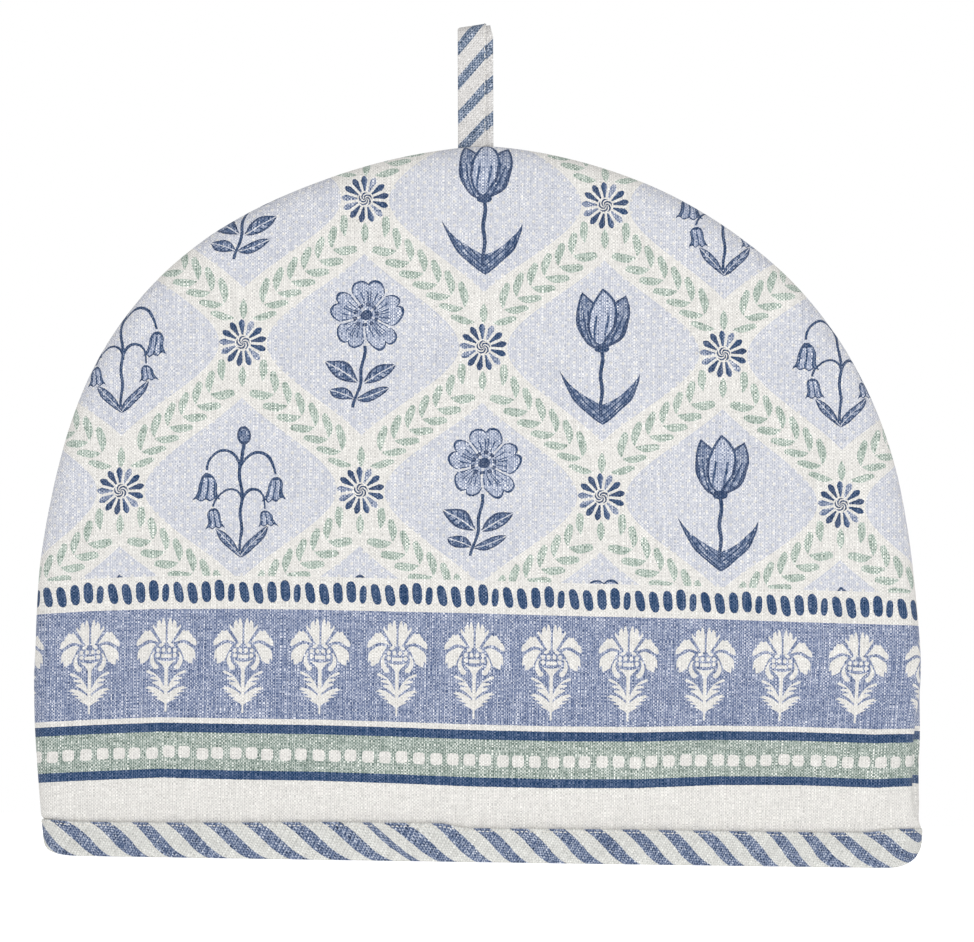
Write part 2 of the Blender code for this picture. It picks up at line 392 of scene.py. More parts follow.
@dataclass(frozen=True)
class Weave:
    """A slubby plain weave, whose threads take the ink unevenly."""

    across: float = 0.69  # millimetres from thread to thread
    up: float = 0.61
    ply: float = 0.84  # and from one fine line to the next within the threads

    def laid(self, place: Signal) -> tuple[Signal, Signal]:
        """Builds the weave.

        Args:
            place: The place on the cloth, along its threads.

        Returns:
            The weave's height, and how light each spot is: about -1 to 1, and 0 on average.
            The lightness is partly the threads' own uneven tone and partly painted shade of
            the weave's relief.
        """
        u, v = place.parts()
        column = place.vector("MULTIPLY", (1.5, 0.045, 1.0)).noise(1.0)
        row = place.vector("MULTIPLY", (0.09, 1.2, 1.0)).noise()
        fine = place.vector("MULTIPLY", (2.4, 1.9, 1.0)).noise()
        end = (u / self.across + column * 1.6).floor()
        pick = (v / self.up + row * 1.4).floor()
        over = (end + pick).pingpong(1.0)
        crossing = {"Vector": end.joined(pick)}
        uneven = place.paint.out("TexWhiteNoise", {"noise_dimensions": "2D"}, crossing)
        fibres = u * (2 * math.pi / self.ply)
        lines = (fibres + column * 3.0).sine()
        thin = column.eased(0.50, 0.66)
        # How light each spot is: partly the threads' own tone, partly painted shade of the weave's
        # relief.
        light = (over - 0.5) * 2.4 + (uneven - 0.5) * 2.5 + lines * 0.9 + (fine - 0.5) * 1.5
        light = light + (column - 0.5) * 2.4 + thin * (over * 1.7 - 0.5) + (row - 0.5) * 1.5 - 0.12
        level = fibres.sine() * (v * (math.pi / self.up)).sine()
        return level * 0.3 + fine * 0.7, light


@dataclass(frozen=True)
class PlainCloth:
    """The cream cloth that faces the pot, without print."""

    name: str = "cream_cloth"
    cream: Colour = dyed(214, 211, 206)

    def material(self) -> bpy.types.Material:
        """Builds the finish.

        Returns:
            The material.
        """
        paint = Paint(self.name)
        height, light = Weave().laid(paint.cloth_place())
        # The weave's lightness scales the cream: partly the threads' own tone, partly painted shade
        # of the weave's relief.
        return paint.cloth((light * 0.1 + 1.0).tint(self.cream[:3]), height, 0.12, 0.92)


@dataclass(frozen=True)
class PrintedCloth:
    """The printed cloth: borders along the hem and a leafy ogee trellis with sprigs above."""

    name: str = "printed_cloth_dyed"
    cream: Colour = dyed(218, 216, 212)
    lavender: Colour = dyed(191, 195, 208)
    blue: Colour = dyed(94, 113, 154)
    navy: Colour = dyed(16, 60, 103)
    sage: Colour = dyed(125, 145, 136)
    leaf: Colour = dyed(150, 170, 159)
    pale_wash: Colour = dyed(158, 170, 198)
    mid_wash: Colour = dyed(112, 130, 166)
    dark_wash: Colour = dyed(38, 60, 96)
    shy: float = 0.24  # share of the ink that misses the threads, and its swing
    swing: float = 0.12
    # The weave's contrast below is partly the threads' own tone and partly painted shade of the
    # weave's relief.
    depth: Pair = (0.07, 0.14)  # the weave's contrast, bare and inked
    line_low: Pair = (30.2, 33.6)
    sage_band: Pair = (33.6, 47.65)
    line_high: Pair = (47.65, 51.1)
    blue_band: Pair = (53.15, 94.3)
    square_row: float = 39.9
    square_pitch: float = 6.39
    dash_row: float = 100.7
    dash_pitch: float = 5.042
    dashes: Sequence[tuple[float, Colour]] = (  # each one's shift, lean, girth and lift
        (0.0, (0.42, 0.42, 0.10, 0.40)),
        (0.2, (0.40, 0.96, 0.80, 0.52)),
        (0.4, (0.466, 0.92, 0.86, 0.32)),
        (0.6, (0.511, 0.70, 0.84, 0.62)),
        (0.8, (0.519, 0.68, 0.95, 0.95)),
    )
    field_foot: float = 106.8
    pink_pitch: float = 29.45
    pink_foot: float = 55.07
    ogee: Pair = (92.0, 112.0)  # the trellis's repeat, across and up
    ogee_level: float = 196.0
    ribbon: float = 9.2  # half the width of the trellis's cream bands
    leaves_per_ogee: int = 22
    fan: Outline = Outline(  # half a pink's parts: (across, height)
        near=((0.38, 26.8), (1.6, 26.8), (5.4, 33.0)),
        far=(
            (0.38, 33.4), (0.75, 35.4), (1.15, 36.5), (1.6, 36.6), (1.85, 35.3), (2.1, 33.9),
            (2.4, 35.2), (2.75, 35.9), (3.25, 35.4), (3.7, 34.8), (3.76, 33.9), (3.8, 32.5),
            (4.5, 33.1), (5.25, 34.2), (5.4, 33.4),
        ),
    )
    wing: Outline = Outline(
        near=(
            (3.0, 27.15), (3.7, 27.35), (4.75, 27.75), (5.8, 28.05), (6.9, 28.1), (8.0, 27.8),
            (9.05, 27.05), (10.1, 26.35), (11.0, 26.0), (11.5, 26.1),
        ),
        far=(
            (3.0, 27.25), (4.75, 29.75), (6.3, 31.75), (6.65, 31.95), (7.2, 31.4), (7.6, 31.6),
            (8.35, 31.85), (8.9, 30.8), (9.2, 30.3), (9.65, 30.3), (9.85, 29.4), (10.1, 29.0),
            (10.6, 28.9), (11.2, 28.0), (11.45, 27.2), (11.5, 26.4),
        ),
    )
    droop: Outline = Outline(
        near=(
            (4.2, 26.1), (5.15, 24.8), (5.9, 23.2), (6.6, 21.7), (7.1, 20.2), (7.9, 20.0),
            (8.6, 19.3), (9.5, 19.1), (9.95, 18.8), (10.05, 19.8), (10.2, 21.2), (10.6, 21.0),
            (11.0, 20.4), (11.15, 20.5),
        ),
        far=(
            (4.2, 26.35), (5.0, 26.75), (5.85, 26.95), (6.7, 26.85), (7.5, 26.5), (8.8, 25.8),
            (10.15, 24.85), (10.7, 24.1), (11.0, 23.3), (11.15, 20.6),
        ),
    )
    low_leaf: Outline = Outline(  # and (height, across)
        near=(
            (3.4, 0.0), (7.0, 0.0), (7.05, 0.75), (7.6, 1.15), (8.1, 1.8), (8.8, 2.8),
            (9.4, 3.8), (9.9, 5.2), (10.2, 6.6), (10.3, 7.2),
        ),
        far=(
            (3.4, 0.4), (4.2, 1.5), (5.3, 3.7), (5.5, 4.1), (5.7, 2.9), (6.2, 3.4),
            (6.75, 5.6), (7.0, 5.5), (7.15, 4.1), (7.6, 4.6), (8.2, 7.0), (8.4, 6.9),
            (8.55, 5.5), (8.9, 6.0), (9.5, 7.9), (9.7, 7.8), (9.8, 6.9), (10.3, 7.2),
        ),
    )
    high_leaf: Outline = Outline(
        near=(
            (8.1, 0.0), (10.0, 0.0), (10.05, 0.85), (11.5, 1.5), (12.9, 2.35), (14.2, 3.35),
            (15.3, 4.7), (16.0, 6.0), (16.4, 7.2),
        ),
        far=(
            (8.1, 0.7), (8.9, 1.7), (10.0, 2.8), (10.7, 3.9), (11.5, 5.4), (11.9, 5.2),
            (12.05, 2.8), (12.4, 3.3), (12.9, 5.2), (13.3, 6.3), (13.7, 5.8), (13.85, 3.5),
            (14.3, 4.3), (15.0, 6.3), (15.6, 7.6), (16.1, 7.5), (16.4, 7.3),
        ),
    )

    def material(self) -> bpy.types.Material:
        """Builds the finish.

        Returns:
            The material.
        """
        paint = Paint(self.name)
        place = paint.cloth_place()
        height, light = Weave().laid(place)
        inked = place.shaken(place.scaled(1.3).noise(1.0, 0.6, 1), (0.3, 0.3, 0.0))
        above = inked.parts()[1] > self.field_foot
        field_ink, field_cover = self._field(inked)
        border_ink, border_cover = self._border(inked)
        ink = above.blend(border_ink, field_ink)
        cover = border_cover + above * (field_cover - border_cover)
        grey = paint.out("RGBToBW", {}, {0: ink})
        missed = ((light * self.swing + self.shy) | 0.0) * grey.eased(0.08, 0.2, 0.2, 1.0)
        colour = (cover * (1.0 - missed)).blend(self.cream, ink)
        # The weave's lightness scales the colour: partly the threads' own tone, partly painted
        # shade of the weave's relief.
        bare, full = self.depth
        depth = cover * grey.eased(0.34, 0.5, 1.0, 0.0) * (full - bare) + bare
        return paint.cloth((light * depth + 1.0).tint(colour), height, 0.14, 0.9)

    def _border(self, place: Signal) -> tuple[Signal, Signal]:
        """The bands, lines, squares, dashes and pinks under the field.

        Args:
            place: The place on the cloth.

        Returns:
            The ink's colour and cover.
        """
        u, v = place.parts()
        sage, blue = v.between(*self.sage_band), v.between(*self.blue_band)
        navy = v.between(*self.line_low) | v.between(*self.line_high) | self._dashes(u, v)
        bare = self._squares(u, v) | self._pinks(u, v)
        colour = navy.blend(sage.blend(self.blue, self.sage), self.navy)
        return colour, ((sage | blue) * (1.0 - bare)) | navy

    def _squares(self, u: Signal, v: Signal) -> Signal:
        """The row of rounded squares on the sage band, each a little out of true.

        Args:
            u: Along the cloth.
            v: Up the cloth.

        Returns:
            A mask of the squares.
        """
        count = u / self.square_pitch
        number = count.floor()
        off, lift = number.chance().parts()
        x = (count - number - 0.5) * (self.square_pitch / 2.25) + (off - 0.5) * 0.4
        y = (v - self.square_row) / 2.2 + (lift - 0.5) * 0.3
        return (x**4.0 + y**4.0) < 1.0

    def _dashes(self, u: Signal, v: Signal) -> Signal:
        """The row of brushed dashes, in a repeat of five.

        Args:
            u: Along the cloth.
            v: Up the cloth.

        Returns:
            A mask of the dashes.
        """
        count = u / self.dash_pitch + 399.23
        number = count.floor()
        fifth = number.modulo(5.0) / 5.0 + 0.1
        kind, lift = u.paint.outs("ValToRGB", {"steps": self.dashes}, {0: fifth})
        shift, lean, girth = u.paint.outs("SeparateColor", {}, {0: kind})
        y = v - self.dash_row - lift * 1.6 + 0.9
        x = (count - number - shift) * self.dash_pitch + y * (lean - 0.5) * 0.42
        across = x / (girth * 0.62 + 1.28)
        up = abs(y) / (girth * 0.75 + 3.35)
        return (across * across + up**3.4) < 1.0

    def _pinks(self, u: Signal, v: Signal) -> Signal:
        """The border's pinks: a fringed flower over a netted cup, on a stem with cut leaves.

        Args:
            u: Along the cloth.
            v: Up the cloth.

        Returns:
            A mask of the flowers.
        """
        count = (u + 1.6) / self.pink_pitch + 0.5
        x = abs((count.fraction() - 0.5) * self.pink_pitch)
        y = (v - self.pink_foot) * 1.02
        half = x.joined(y)
        bar = (x < 1.95) & y.between(21.15, 22.5)
        side = half.oval((3.2, 22.15), (0.76, 0.82)) < 1.0
        dots = abs(x - 2.17).joined(y).oval((1.08, 24.15), (0.70, 0.84)) < 1.0
        crown = half.oval((1.95, 26.1), (1.08, 0.64), -28.0) < 1.0
        stem = (x < y.eased(3.0, 4.4, 0.38, 0.66)) & y.between(0.2, 18.0)
        flare = ((y - 16.6) | 0.0) ** 1.5
        cup = (y < (x * x * 0.055 + 19.8)) & (x < flare * 0.42 + 0.6) & y.between(16.6, 20.5)
        ring = abs(half.local((1.3, 20.9)).length() - 4.25)
        sepal = (ring < y.eased(23.6, 19.2, 0.28, 0.86)) & y.between(17.3, 23.5)
        tip = half.oval((4.15, 17.7), (1.15, 1.0), 20.0) < 1.0
        whole = (bar | side | dots | crown) | stem | cup | (sepal & (x > 3.3)) | tip
        for petal in (self.fan, self.wing, self.droop):
            whole = whole | petal.holds(x, y)
        for leaf in (self.low_leaf, self.high_leaf):
            whole = whole | leaf.holds(y, x)
        return whole

    def _field(self, place: Signal) -> tuple[Signal, Signal]:
        """The lavender ground with pin dots, its leafy ogee trellis, rosettes and sprigs.

        Args:
            place: The place on the cloth.

        Returns:
            The ink's colour and cover.
        """
        wide, tall = self.ogee
        u, v = place.parts()
        angle = (v - self.ogee_level) * (2 * math.pi / tall)
        rise, run = angle.cosine(), angle.sine()
        aside = (u + wide / 2).pingpong(wide / 2) - wide / 4 - rise * (wide / 4)
        steep = 2 * math.pi * wide / 4 / tall
        off = aside / (run * run * steep**2 + 1.0).root()
        leaves = self._garland(v, off, rise, run * -steep)
        reach, back = (wide / 2, tall / 2, 1.0), (-wide / 2, -tall / 2, -1.0)
        middles = ((0.0, self.ogee_level - tall / 2, 0.0), (wide / 2, self.ogee_level, 0.0))
        even, odd = (
            place.vector("SUBTRACT", middle).vector("WRAP", reach, back) for middle in middles
        )
        rosette, knot = self._rosette(even, odd)
        cell = (aside > 0.0).pick(odd, even)
        tone = self._sprigs(cell, place.vector("SUBTRACT", cell)) | rosette
        pins = place.local((0.0, 0.0), 45.0, (3.3, 3.3)).vector("FRACTION")
        pins = pins.vector("SUBTRACT", (0.5, 0.5, 0.0)).length() < 0.19
        ground = (1.0 - (abs(off) < self.ribbon)) * (1.0 - pins * 0.85)
        washes = (self.lavender, self.pale_wash, self.mid_wash, self.navy, self.dark_wash)
        stops = tuple(zip((0.0, 0.16, 0.34, 0.58, 1.0), washes))
        wash = place.paint.out("ValToRGB", {"stops": stops}, {0: tone})
        drawn = tone > 0.04
        colour = drawn.blend((leaves | knot).blend(self.lavender, self.leaf), wash)
        return colour, ground | leaves | knot | drawn

    def _garland(self, v: Signal, off: Signal, rise: Signal, slope: Signal) -> Signal:
        """Pairs of leaves up each line of the trellis.

        Args:
            v: Up the cloth.
            off: Millimetres aside of the line.
            rise: The cosine of the place in the repeat.
            slope: How far the line moves aside for each millimetre up.

        Returns:
            A mask of the leaves.
        """
        stretch = 1.32  # of the line, against its height
        pitch = stretch * self.ogee[1] / self.leaves_per_ogee
        along = (v - self.ogee_level) * stretch + slope * (rise * 4.37 + off)
        out = abs(off)
        count = (along - out) / pitch
        number = count.floor()
        across = (count - number - 0.5) * (pitch * 0.7071)
        share = out * (1.414 / 9.6)
        width = share * (1.0 - share * share * share) * 3.9
        half = self.leaves_per_ogee / 2
        turn = number.wrap(half, 0.0)
        outer, inner = turn.between(0.5, half - 2.5), turn.between(1.5, half - 3.5)
        towards = (off * rise) > 0.0
        return (abs(across) < width) & (out > 0.35) & (inner + (1.0 - towards) * outer)

    @staticmethod
    def _rosette(even: Signal, odd: Signal) -> tuple[Signal, Signal]:
        """Rosettes where the trellis's lines meet, with a bud above and below.

        Args:
            even: The place in the even cells.
            odd: The place in the odd cells.

        Returns:
            The rosette's tone, and a mask of the buds.
        """
        (even_x, even_y), (odd_x, odd_y) = even.parts(), odd.parts()
        nearer = abs(even_x) < abs(odd_x)
        x = odd_x + nearer * (even_x - odd_x)
        y = even_y + nearer * (odd_y - even_y)
        reach = (x * x + y * y).root()
        turn = y.arctan2(x)
        beat = abs((turn * 6.5 + 0.3).sine())
        petal = (reach < beat * 3.2 + 5.9) & (reach > 3.1) & (beat > (1.0 - reach * 0.075))
        shade = (turn * 3.0 + 1.0).sine() * 0.25 + 0.62
        heart = (reach < 2.6) & ((reach * 5.0 + turn * 5.0).sine() > -0.2)
        lift = (abs(y) - 13.0) / 4.0
        return (petal * shade) | (heart * 0.85), lift.times_plus(lift, abs(x) / 1.5) < 1.0

    def _sprigs(self, cell: Signal, centre: Signal) -> Signal:
        """The three sprigs that take turns in the trellis's cells.

        Args:
            cell: The place in the cell.
            centre: The cell's own place.

        Returns:
            The ink's tone, from 0, none, to 1, darkest.
        """
        wide, tall = self.ogee
        place = cell.shaken(cell.scaled(0.08).noise(result=1), (3.5, 3.5, 0.0))
        place = place.shaken(centre.scaled(0.37).noise(result=1), (3.0, 2.0, 0.0)).scaled(0.87)
        offset = (self.ogee_level - tall / 2) / tall
        turn = centre.vector("DOT_PRODUCT", (1 / wide, 1 / tall, 0.0), result=1) - offset + 0.01
        turn = turn.wrap(3.0, 0.0)
        tone = self._rose(place) * (turn < 0.5) + self._tulip(place) * turn.between(0.5, 1.5)
        tone = tone + self._bells(place) * (turn > 1.5)
        return tone * (place.scaled(0.45).noise(1.0) * 0.7 + 0.68)

    def _rose(self, place: Signal) -> Signal:
        """A five-petalled briar rose on a leafy stem.

        Args:
            place: The place in the cell.

        Returns:
            Its tone.
        """
        head = place.local((1.0, 9.5), 18.0)
        x, y = head.parts()
        reach = head.length()
        turn = y.arctan2(x).pingpong(math.pi / 5)
        part = turn * (5 / math.pi)
        rim = part.curve(((0.0, 0.88), (0.22, 1.0), (0.65, 0.97), (1.0, 0.68))) * 12.0
        inside = (reach < rim) & (((1.0 - part) * reach) > 0.55)
        edge = reach > (rim - 0.75)
        veins = ((turn * 26.0).sine() > 0.72) & reach.between(3.6, 8.0)
        petals = inside * (0.34 - reach * 0.010 + edge * 0.5 + veins * 0.3)
        stamens = reach.between(2.7, 3.9) & ((turn * 15.0).sine() > 0.1)
        heart = (reach < 1.7) | stamens
        x, y = place.local((0.6, 3.0)).parts()
        bowed = abs(x + y * y * 0.006)
        stem = (bowed + (1.0 - y.between(-25.0, -4.5)) * 9.0) < 0.5
        low = bowed.joined(y)
        leaves = self._veined(low, (6.3, -12.0), (6.6, 2.7), 32.0)
        leaves = leaves | self._veined(low, (5.0, -20.0), (5.2, 2.2), 22.0)
        return petals | (heart * 0.9) | (stem * 0.75) | leaves

    @staticmethod
    def _veined(place: Signal, centre: Pair, size: Pair, degrees: float) -> Signal:
        """A pointed leaf, washed in and outlined, with a bare midrib.

        Args:
            place: The place to draw in.
            centre: The leaf's middle.
            size: Half its length and half its width.
            degrees: Its slant.

        Returns:
            Its tone.
        """
        x, y = place.local(centre, degrees, size).parts()
        rim = x.times_plus(x, abs(y))
        ribs = ((x - abs(y) * 0.35) * 17.0).sine() > 0.55
        tone = (rim > 0.74) * 0.42 + ribs * 0.22 + 0.44
        return (rim < 1.0) * (abs(y) > 0.07) * tone

    @staticmethod
    def _tulip(place: Signal) -> Signal:
        """A tulip with feathered petals between two long leaves.

        Args:
            place: The place in the cell.

        Returns:
            Its tone.
        """
        x, y = place.parts()
        half = abs(x).joined(y)
        side_x, side_y = half.local((4.3, 10.2), 74.0, (10.2, 4.5)).parts()
        mid_x, mid_y = half.local((0.0, 11.0), 90.0, (10.5, 4.6)).parts()
        side = side_x.times_plus(side_x, abs(side_y))
        mid = mid_x.times_plus(mid_x, abs(mid_y))
        streak = (side_y * 15.0 + side_x * 2.0).sine() > 0.45
        feather = (mid_y * 13.0).sine() > 0.5
        outer = (side < 1.0) * ((side > 0.80) * 0.45 + streak * (side_x < 0.3) * 0.28 + 0.42)
        front = (mid < 1.0) * ((mid > 0.80) * 0.5 + feather * (mid_x < 0.1) * 0.3 + 0.24)
        cup = half.oval((0.0, 0.6), (2.4, 1.7)) < 1.0
        stem = (abs(x) < 0.6) & y.between(-22.0, 1.0)
        outside = half.local((-13.0, -1.0)).length() - 27.0
        inside = half.local((-8.0, 5.5)).length() - 24.5
        blade = (outside < 0.0) & (inside > 0.0) & (y < 4.0)
        ribs = ((outside * 4.4).sine() > 0.5) * 0.25
        leaf = blade * (ribs + (outside > -0.6) * 0.35 + 0.45)
        return (outer * (mid > 1.0) + front) | ((cup | stem) * 0.8) | leaf

    def _bells(self, place: Signal) -> Signal:
        """A spray of hanging bells over a tuft of narrow leaves.

        Args:
            place: The place in the cell.

        Returns:
            Its tone.
        """
        x, y = place.parts()
        half = abs(x).joined(y)
        stem = (abs(x) < 0.5) & y.between(-21.0, 15.5)
        arch = abs(half.oval((5.6, 5.6), (1.0, 1.25)) - 5.6)
        low_arch = abs(half.oval((4.4, -5.6), (1.0, 1.2)) - 4.4)
        arches = ((arch < 0.38) & (y > 5.6)) | ((low_arch < 0.36) & (y > -5.6))
        bells = self._bell(half, (11.2, 0.6), 4.2) | self._bell(half, (8.8, -9.6), 3.4)
        bud = half.oval((0.0, 17.6), (1.9, 3.3))
        tip = (bud < 1.0) * ((bud > 0.72) * 0.4 + 0.45)
        blades = self._veined(half, (4.2, -18.0), (7.2, 1.7), 48.0)
        return ((stem | arches) * 0.75) | bells | tip | blades

    @staticmethod
    def _bell(place: Signal, centre: Pair, size: float) -> Signal:
        """One bell, hanging with a scalloped mouth.

        Args:
            place: The place to draw in.
            centre: The middle of the bell.
            size: Half its height.

        Returns:
            Its tone.
        """
        x, y = place.local(centre, 0.0, (size, size)).parts()
        profile = ((0.0, 1.0), (0.12, 0.86), (0.35, 0.66), (0.75, 0.58), (1.0, 0.15))
        across = abs(x) / (y * 0.5 + 0.5).curve(profile)
        mouth = (x * 9.5).cosine() * 0.09 - 0.9
        inside = (across < 1.0) & (y > mouth) & (y < 1.0)
        ribs = ((across * 9.0).cosine() > 0.6) * 0.28
        dark = (across > 0.82) | (y < (mouth + 0.14)) | (y > 0.74)
        return inside * (dark * 0.42 + ribs + 0.28)


@dataclass(frozen=True)
class StripedStrip:
    """The bias strip's cloth: blue stripes across a cream weave that runs at 45 degrees."""

    name: str
    repeat: float  # of the stripes, measured along the strip
    share: float  # of the repeat that is blue
    slant: float  # how far a stripe moves along the strip for each millimetre across it
    shift: float
    sweep: Curve = ()  # further bend along the strip, against the place across it
    sweep_span: Pair = (0.0, 1.0)
    sweep_size: float = 0.0
    cream: Colour = dyed(205, 205, 201)
    blue: Colour = dyed(76, 96, 133)
    # The weave's contrast below is partly the threads' own tone and partly painted shade of the
    # weave's relief.
    depth: Pair = (0.085, 0.20)  # the weave's contrast in cream and in blue

    def material(self) -> bpy.types.Material:
        """Builds the finish.

        Returns:
            The material.
        """
        paint = Paint(self.name)
        place = paint.cloth_place()
        height, light = Weave().laid(place.local((0.0, 0.0), 45.0))
        along, across = place.parts()
        ragged = (place.scaled(1.4).noise(1.0, 0.6) - 0.5) * 0.35
        phase = along + across * self.slant + ragged + self.shift
        if self.sweep:
            low, high = self.sweep_span
            share = ((across - low) / (high - low)) | 0.0
            phase = phase + ((share & 1.0).curve(self.sweep) - 0.5) * self.sweep_size
        stripe = (phase / self.repeat).fraction() < self.share
        missed = (light * 0.09 + 0.12) | 0.0
        colour = (stripe * (1.0 - missed)).blend(self.cream, self.blue)
        # The weave's lightness scales the colour: partly the threads' own tone, partly painted
        # shade of the weave's relief.
        bare, inked = self.depth
        depth = stripe * (inked - bare) + bare
        return paint.cloth((light * depth + 1.0).tint(colour), height, 0.14, 0.9)


@dataclass(frozen=True)
class SewingThread:
    """Twisted sewing thread, darker where its relief sinks: painted shade in its hollows."""

    name: str = "sewing_thread"
    pale: Colour = dyed(238, 235, 228)
    dark: Colour = dyed(196, 193, 184)

    def material(self) -> bpy.types.Material:
        """Builds the finish.

        Returns:
            The material.
        """
        paint = Paint(self.name)
        height = paint.out("TexCoord", {}, {}, "Object").scaled(4 / MM).noise(1.0)
        # Painted shade: the thread's colour darkens where the bump's height is low.
        return paint.cloth((height * 1.3).blend(self.dark, self.pale), height, 0.08, 0.7)


@dataclass(frozen=True)
class PaleFloor:
    """The plain pale floor, which glows with painted light, least near the cosy and more away from
    it, as a lit sweep brightens.
    """

    name: str = "pale_floor"
    pale: Colour = dyed(248, 248, 248)
    speckle: Colour = dyed(246, 246, 246)
    reach: Pair = (0.22, 0.9)  # metres from the middle: least glow within, full glow past
    painted_glow: Pair = (0.52, 0.75)

    def material(self) -> bpy.types.Material:
        """Builds the finish.

        Returns:
            The material.
        """
        paint = Paint(self.name)
        place = paint.out("TexCoord", {}, {}, "Object")
        sockets = {
            "Base Color": place.scaled(400.0).noise(1.0).blend(self.pale, self.speckle),
            "Roughness": 0.9,
            "Specular IOR Level": 0.1,
            # Painted light: the floor glows, weaker near the cosy, so that it reads as evenly lit
            # white.
            "Emission Color": place.length().eased(*self.reach, *self.painted_glow).tint((1.0, 1.0, 1.0)),
            "Emission Strength": 1.0,
        }
        return paint.surface("BsdfPrincipled", sockets)


# ---------------------------------------------------------------------------
# Shapes


@dataclass(frozen=True)
class Dome:
    """The shape that both panels share: outline, fullness, padding and hem."""

    half_width: float = 171.0
    crown: float = 274.5
    foot: float = 50.6  # the outline's widest level lies this far below the surface
    rise_power: float = 4.97
    span_power: float = 1.629
    taper: float = 2.4
    taper_height: float = 70.0
    shoulder: float = 226.0
    centre_shift: float = 0.3
    hem_swing: float = 1.5
    hem_swing_height: float = 45.0
    seam_gap: float = 0.3
    loft: float = 5.0
    hem_loft: float = 2.6
    roll: float = 7.0
    allowance: float = 7.0
    spread: float = 38.0
    across_power: float = 0.9
    up_power: float = 2.4
    up_roundness: float = 0.85
    row_bow: float = 2.0
    hem_edge: float = 3.9
    squeeze_end: Pair = (13.6, 33.0)
    side_end: Pair = (12.4, 15.6)
    tuck: float = 1.85  # the panels stop this far short at the sides under the binding
    binding_height: float = 13.5
    lift_fade: float = 4.0
    left_corner: Pair = (11.0, 3.2)  # the length and rise of the hem's rounded corner
    right_corner: Pair = (11.8, 7.8)
    loop_x: float = -4.3
    loop_half_width: float = 6.8
    tail_half_gap: float = 2.3
    part_margin: float = 0.5
    part_fade: float = 5.0
    part_levels: Pair = (248.0, 265.0)
    outline_samples: int = 240
    leans: Curve = (  # (height, how far the middle of the dome lies aside there)
        (0.0, 0.0), (60.0, -1.0), (80.0, -1.5), (100.0, -2.2), (112.0, -2.5), (150.0, -2.5),
        (170.0, -2.9), (190.0, -3.4), (215.0, -3.6), (240.0, -3.5), (250.0, -2.6),
        (260.0, -1.2), (274.0, -0.6),
    )
    trims: Curve = (  # (height, how much narrower half the dome is there)
        (38.0, 0.0), (50.0, -0.4), (66.0, -0.4), (82.0, 0.0), (112.0, 0.0), (135.0, 0.35),
        (210.0, 0.40), (226.0, 0.15),
    )

    def half_width_at(self, z: np.ndarray) -> np.ndarray:
        """Half the finished width of the cosy.

        Args:
            z: The height.

        Returns:
            Half the width there.
        """
        rise = np.clip((z + self.foot) / (self.crown + self.foot), 0, 1)
        dome = self.half_width * (1 - rise**self.rise_power) ** (1 / self.span_power)
        taper = self.taper * np.clip(1 - z / self.taper_height, 0, 1)
        return dome - taper - read_off(self.trims, z)

    def height_over(self, x: np.ndarray) -> np.ndarray:
        """The outline's height.

        Args:
            x: Across, from the middle.

        Returns:
            The height there.
        """
        span = np.clip(np.abs(x) / self.half_width, 0, 1)
        rise = (1 - span**self.span_power) ** (1 / self.rise_power)
        return rise * (self.crown + self.foot) - self.foot

    def centre_at(self, z: np.ndarray) -> np.ndarray:
        """How far the middle of the dome lies from the middle of the cosy at height z."""
        swing = self.hem_swing * (1 - smooth(0, self.hem_swing_height, z))
        return self.centre_shift + read_off(self.leans, z) + swing

    def squeeze(self, z: np.ndarray) -> np.ndarray:
        """1 where the binding holds the panels flat, 0 where the wadding is at full loft."""
        return 1 - smooth(*self.squeeze_end, z)

    def row_at(self, z: float) -> float:
        """The grid row that lies at height z, near the hem."""
        return (z - self.hem_edge) / (self.shoulder - self.hem_edge)

    def plan(self, s: np.ndarray, t: np.ndarray) -> tuple[np.ndarray, np.ndarray]:
        """Where grid point (s, t) of a panel falls, seen from the front.

        Args:
            s: -1 to 1 across the panel.
            t: 0 at the hem to 1 at the crown.

        Returns:
            x and z before the lean.
        """
        side = self.hem_edge + t * (self.shoulder - self.hem_edge)
        wide = self.half_width_at(side) - self.tuck * (1 - smooth(*self.side_end, side))
        bow = self.height_over(s * self.half_width_at(np.array(self.shoulder))) - self.shoulder
        return s * wide, side + np.clip(t, 0, 1) ** self.row_bow * bow

    def outline(self) -> np.ndarray:
        """A panel's sewn edge.

        Returns:
            Points from the left of the hem, over the crown and down to the right.
        """
        sides = np.linspace(0, 1, self.outline_samples)
        ends = np.ones(self.outline_samples)
        left = np.stack(self.plan(-ends, sides), axis=1)
        top = np.stack(self.plan(np.linspace(-1, 1, self.outline_samples), ends), axis=1)
        return np.concatenate([left, top[1:-1], left[::-1] * (-1, 1)])

    def from_edge(self, x: np.ndarray, z: np.ndarray) -> tuple[np.ndarray, np.ndarray, np.ndarray]:
        """How each point lies to the panel's sewn edge, seen from the front.

        Args:
            x: Across.
            z: Up.

        Returns:
            The distance, the millimetres along the edge, and the outward direction.
        """
        line = self.outline()
        starts, steps = line[:-1], np.diff(line, axis=0)
        lengths = np.linalg.norm(steps, axis=1)
        normals = steps[:, ::-1] * (-1, 1) / lengths[:, None]
        points = np.stack([x.ravel(), z.ravel()], axis=1)
        found = []
        for part in np.array_split(points[:, None, :], math.ceil(len(points) / 2000)):
            share = np.clip(((part - starts) * steps).sum(-1) / lengths**2, 0, 1)
            gaps = np.linalg.norm(part - starts - share[..., None] * steps, axis=-1)
            best = gaps.argmin(axis=1)
            rows = np.arange(len(best))
            along = runs(line)[best] + share[rows, best] * lengths[best]
            found.append(np.column_stack([gaps[rows, best], along, normals[best]]))
        found = np.concatenate(found).reshape(*x.shape, 4)
        return found[..., 0], found[..., 1], found[..., 2:]

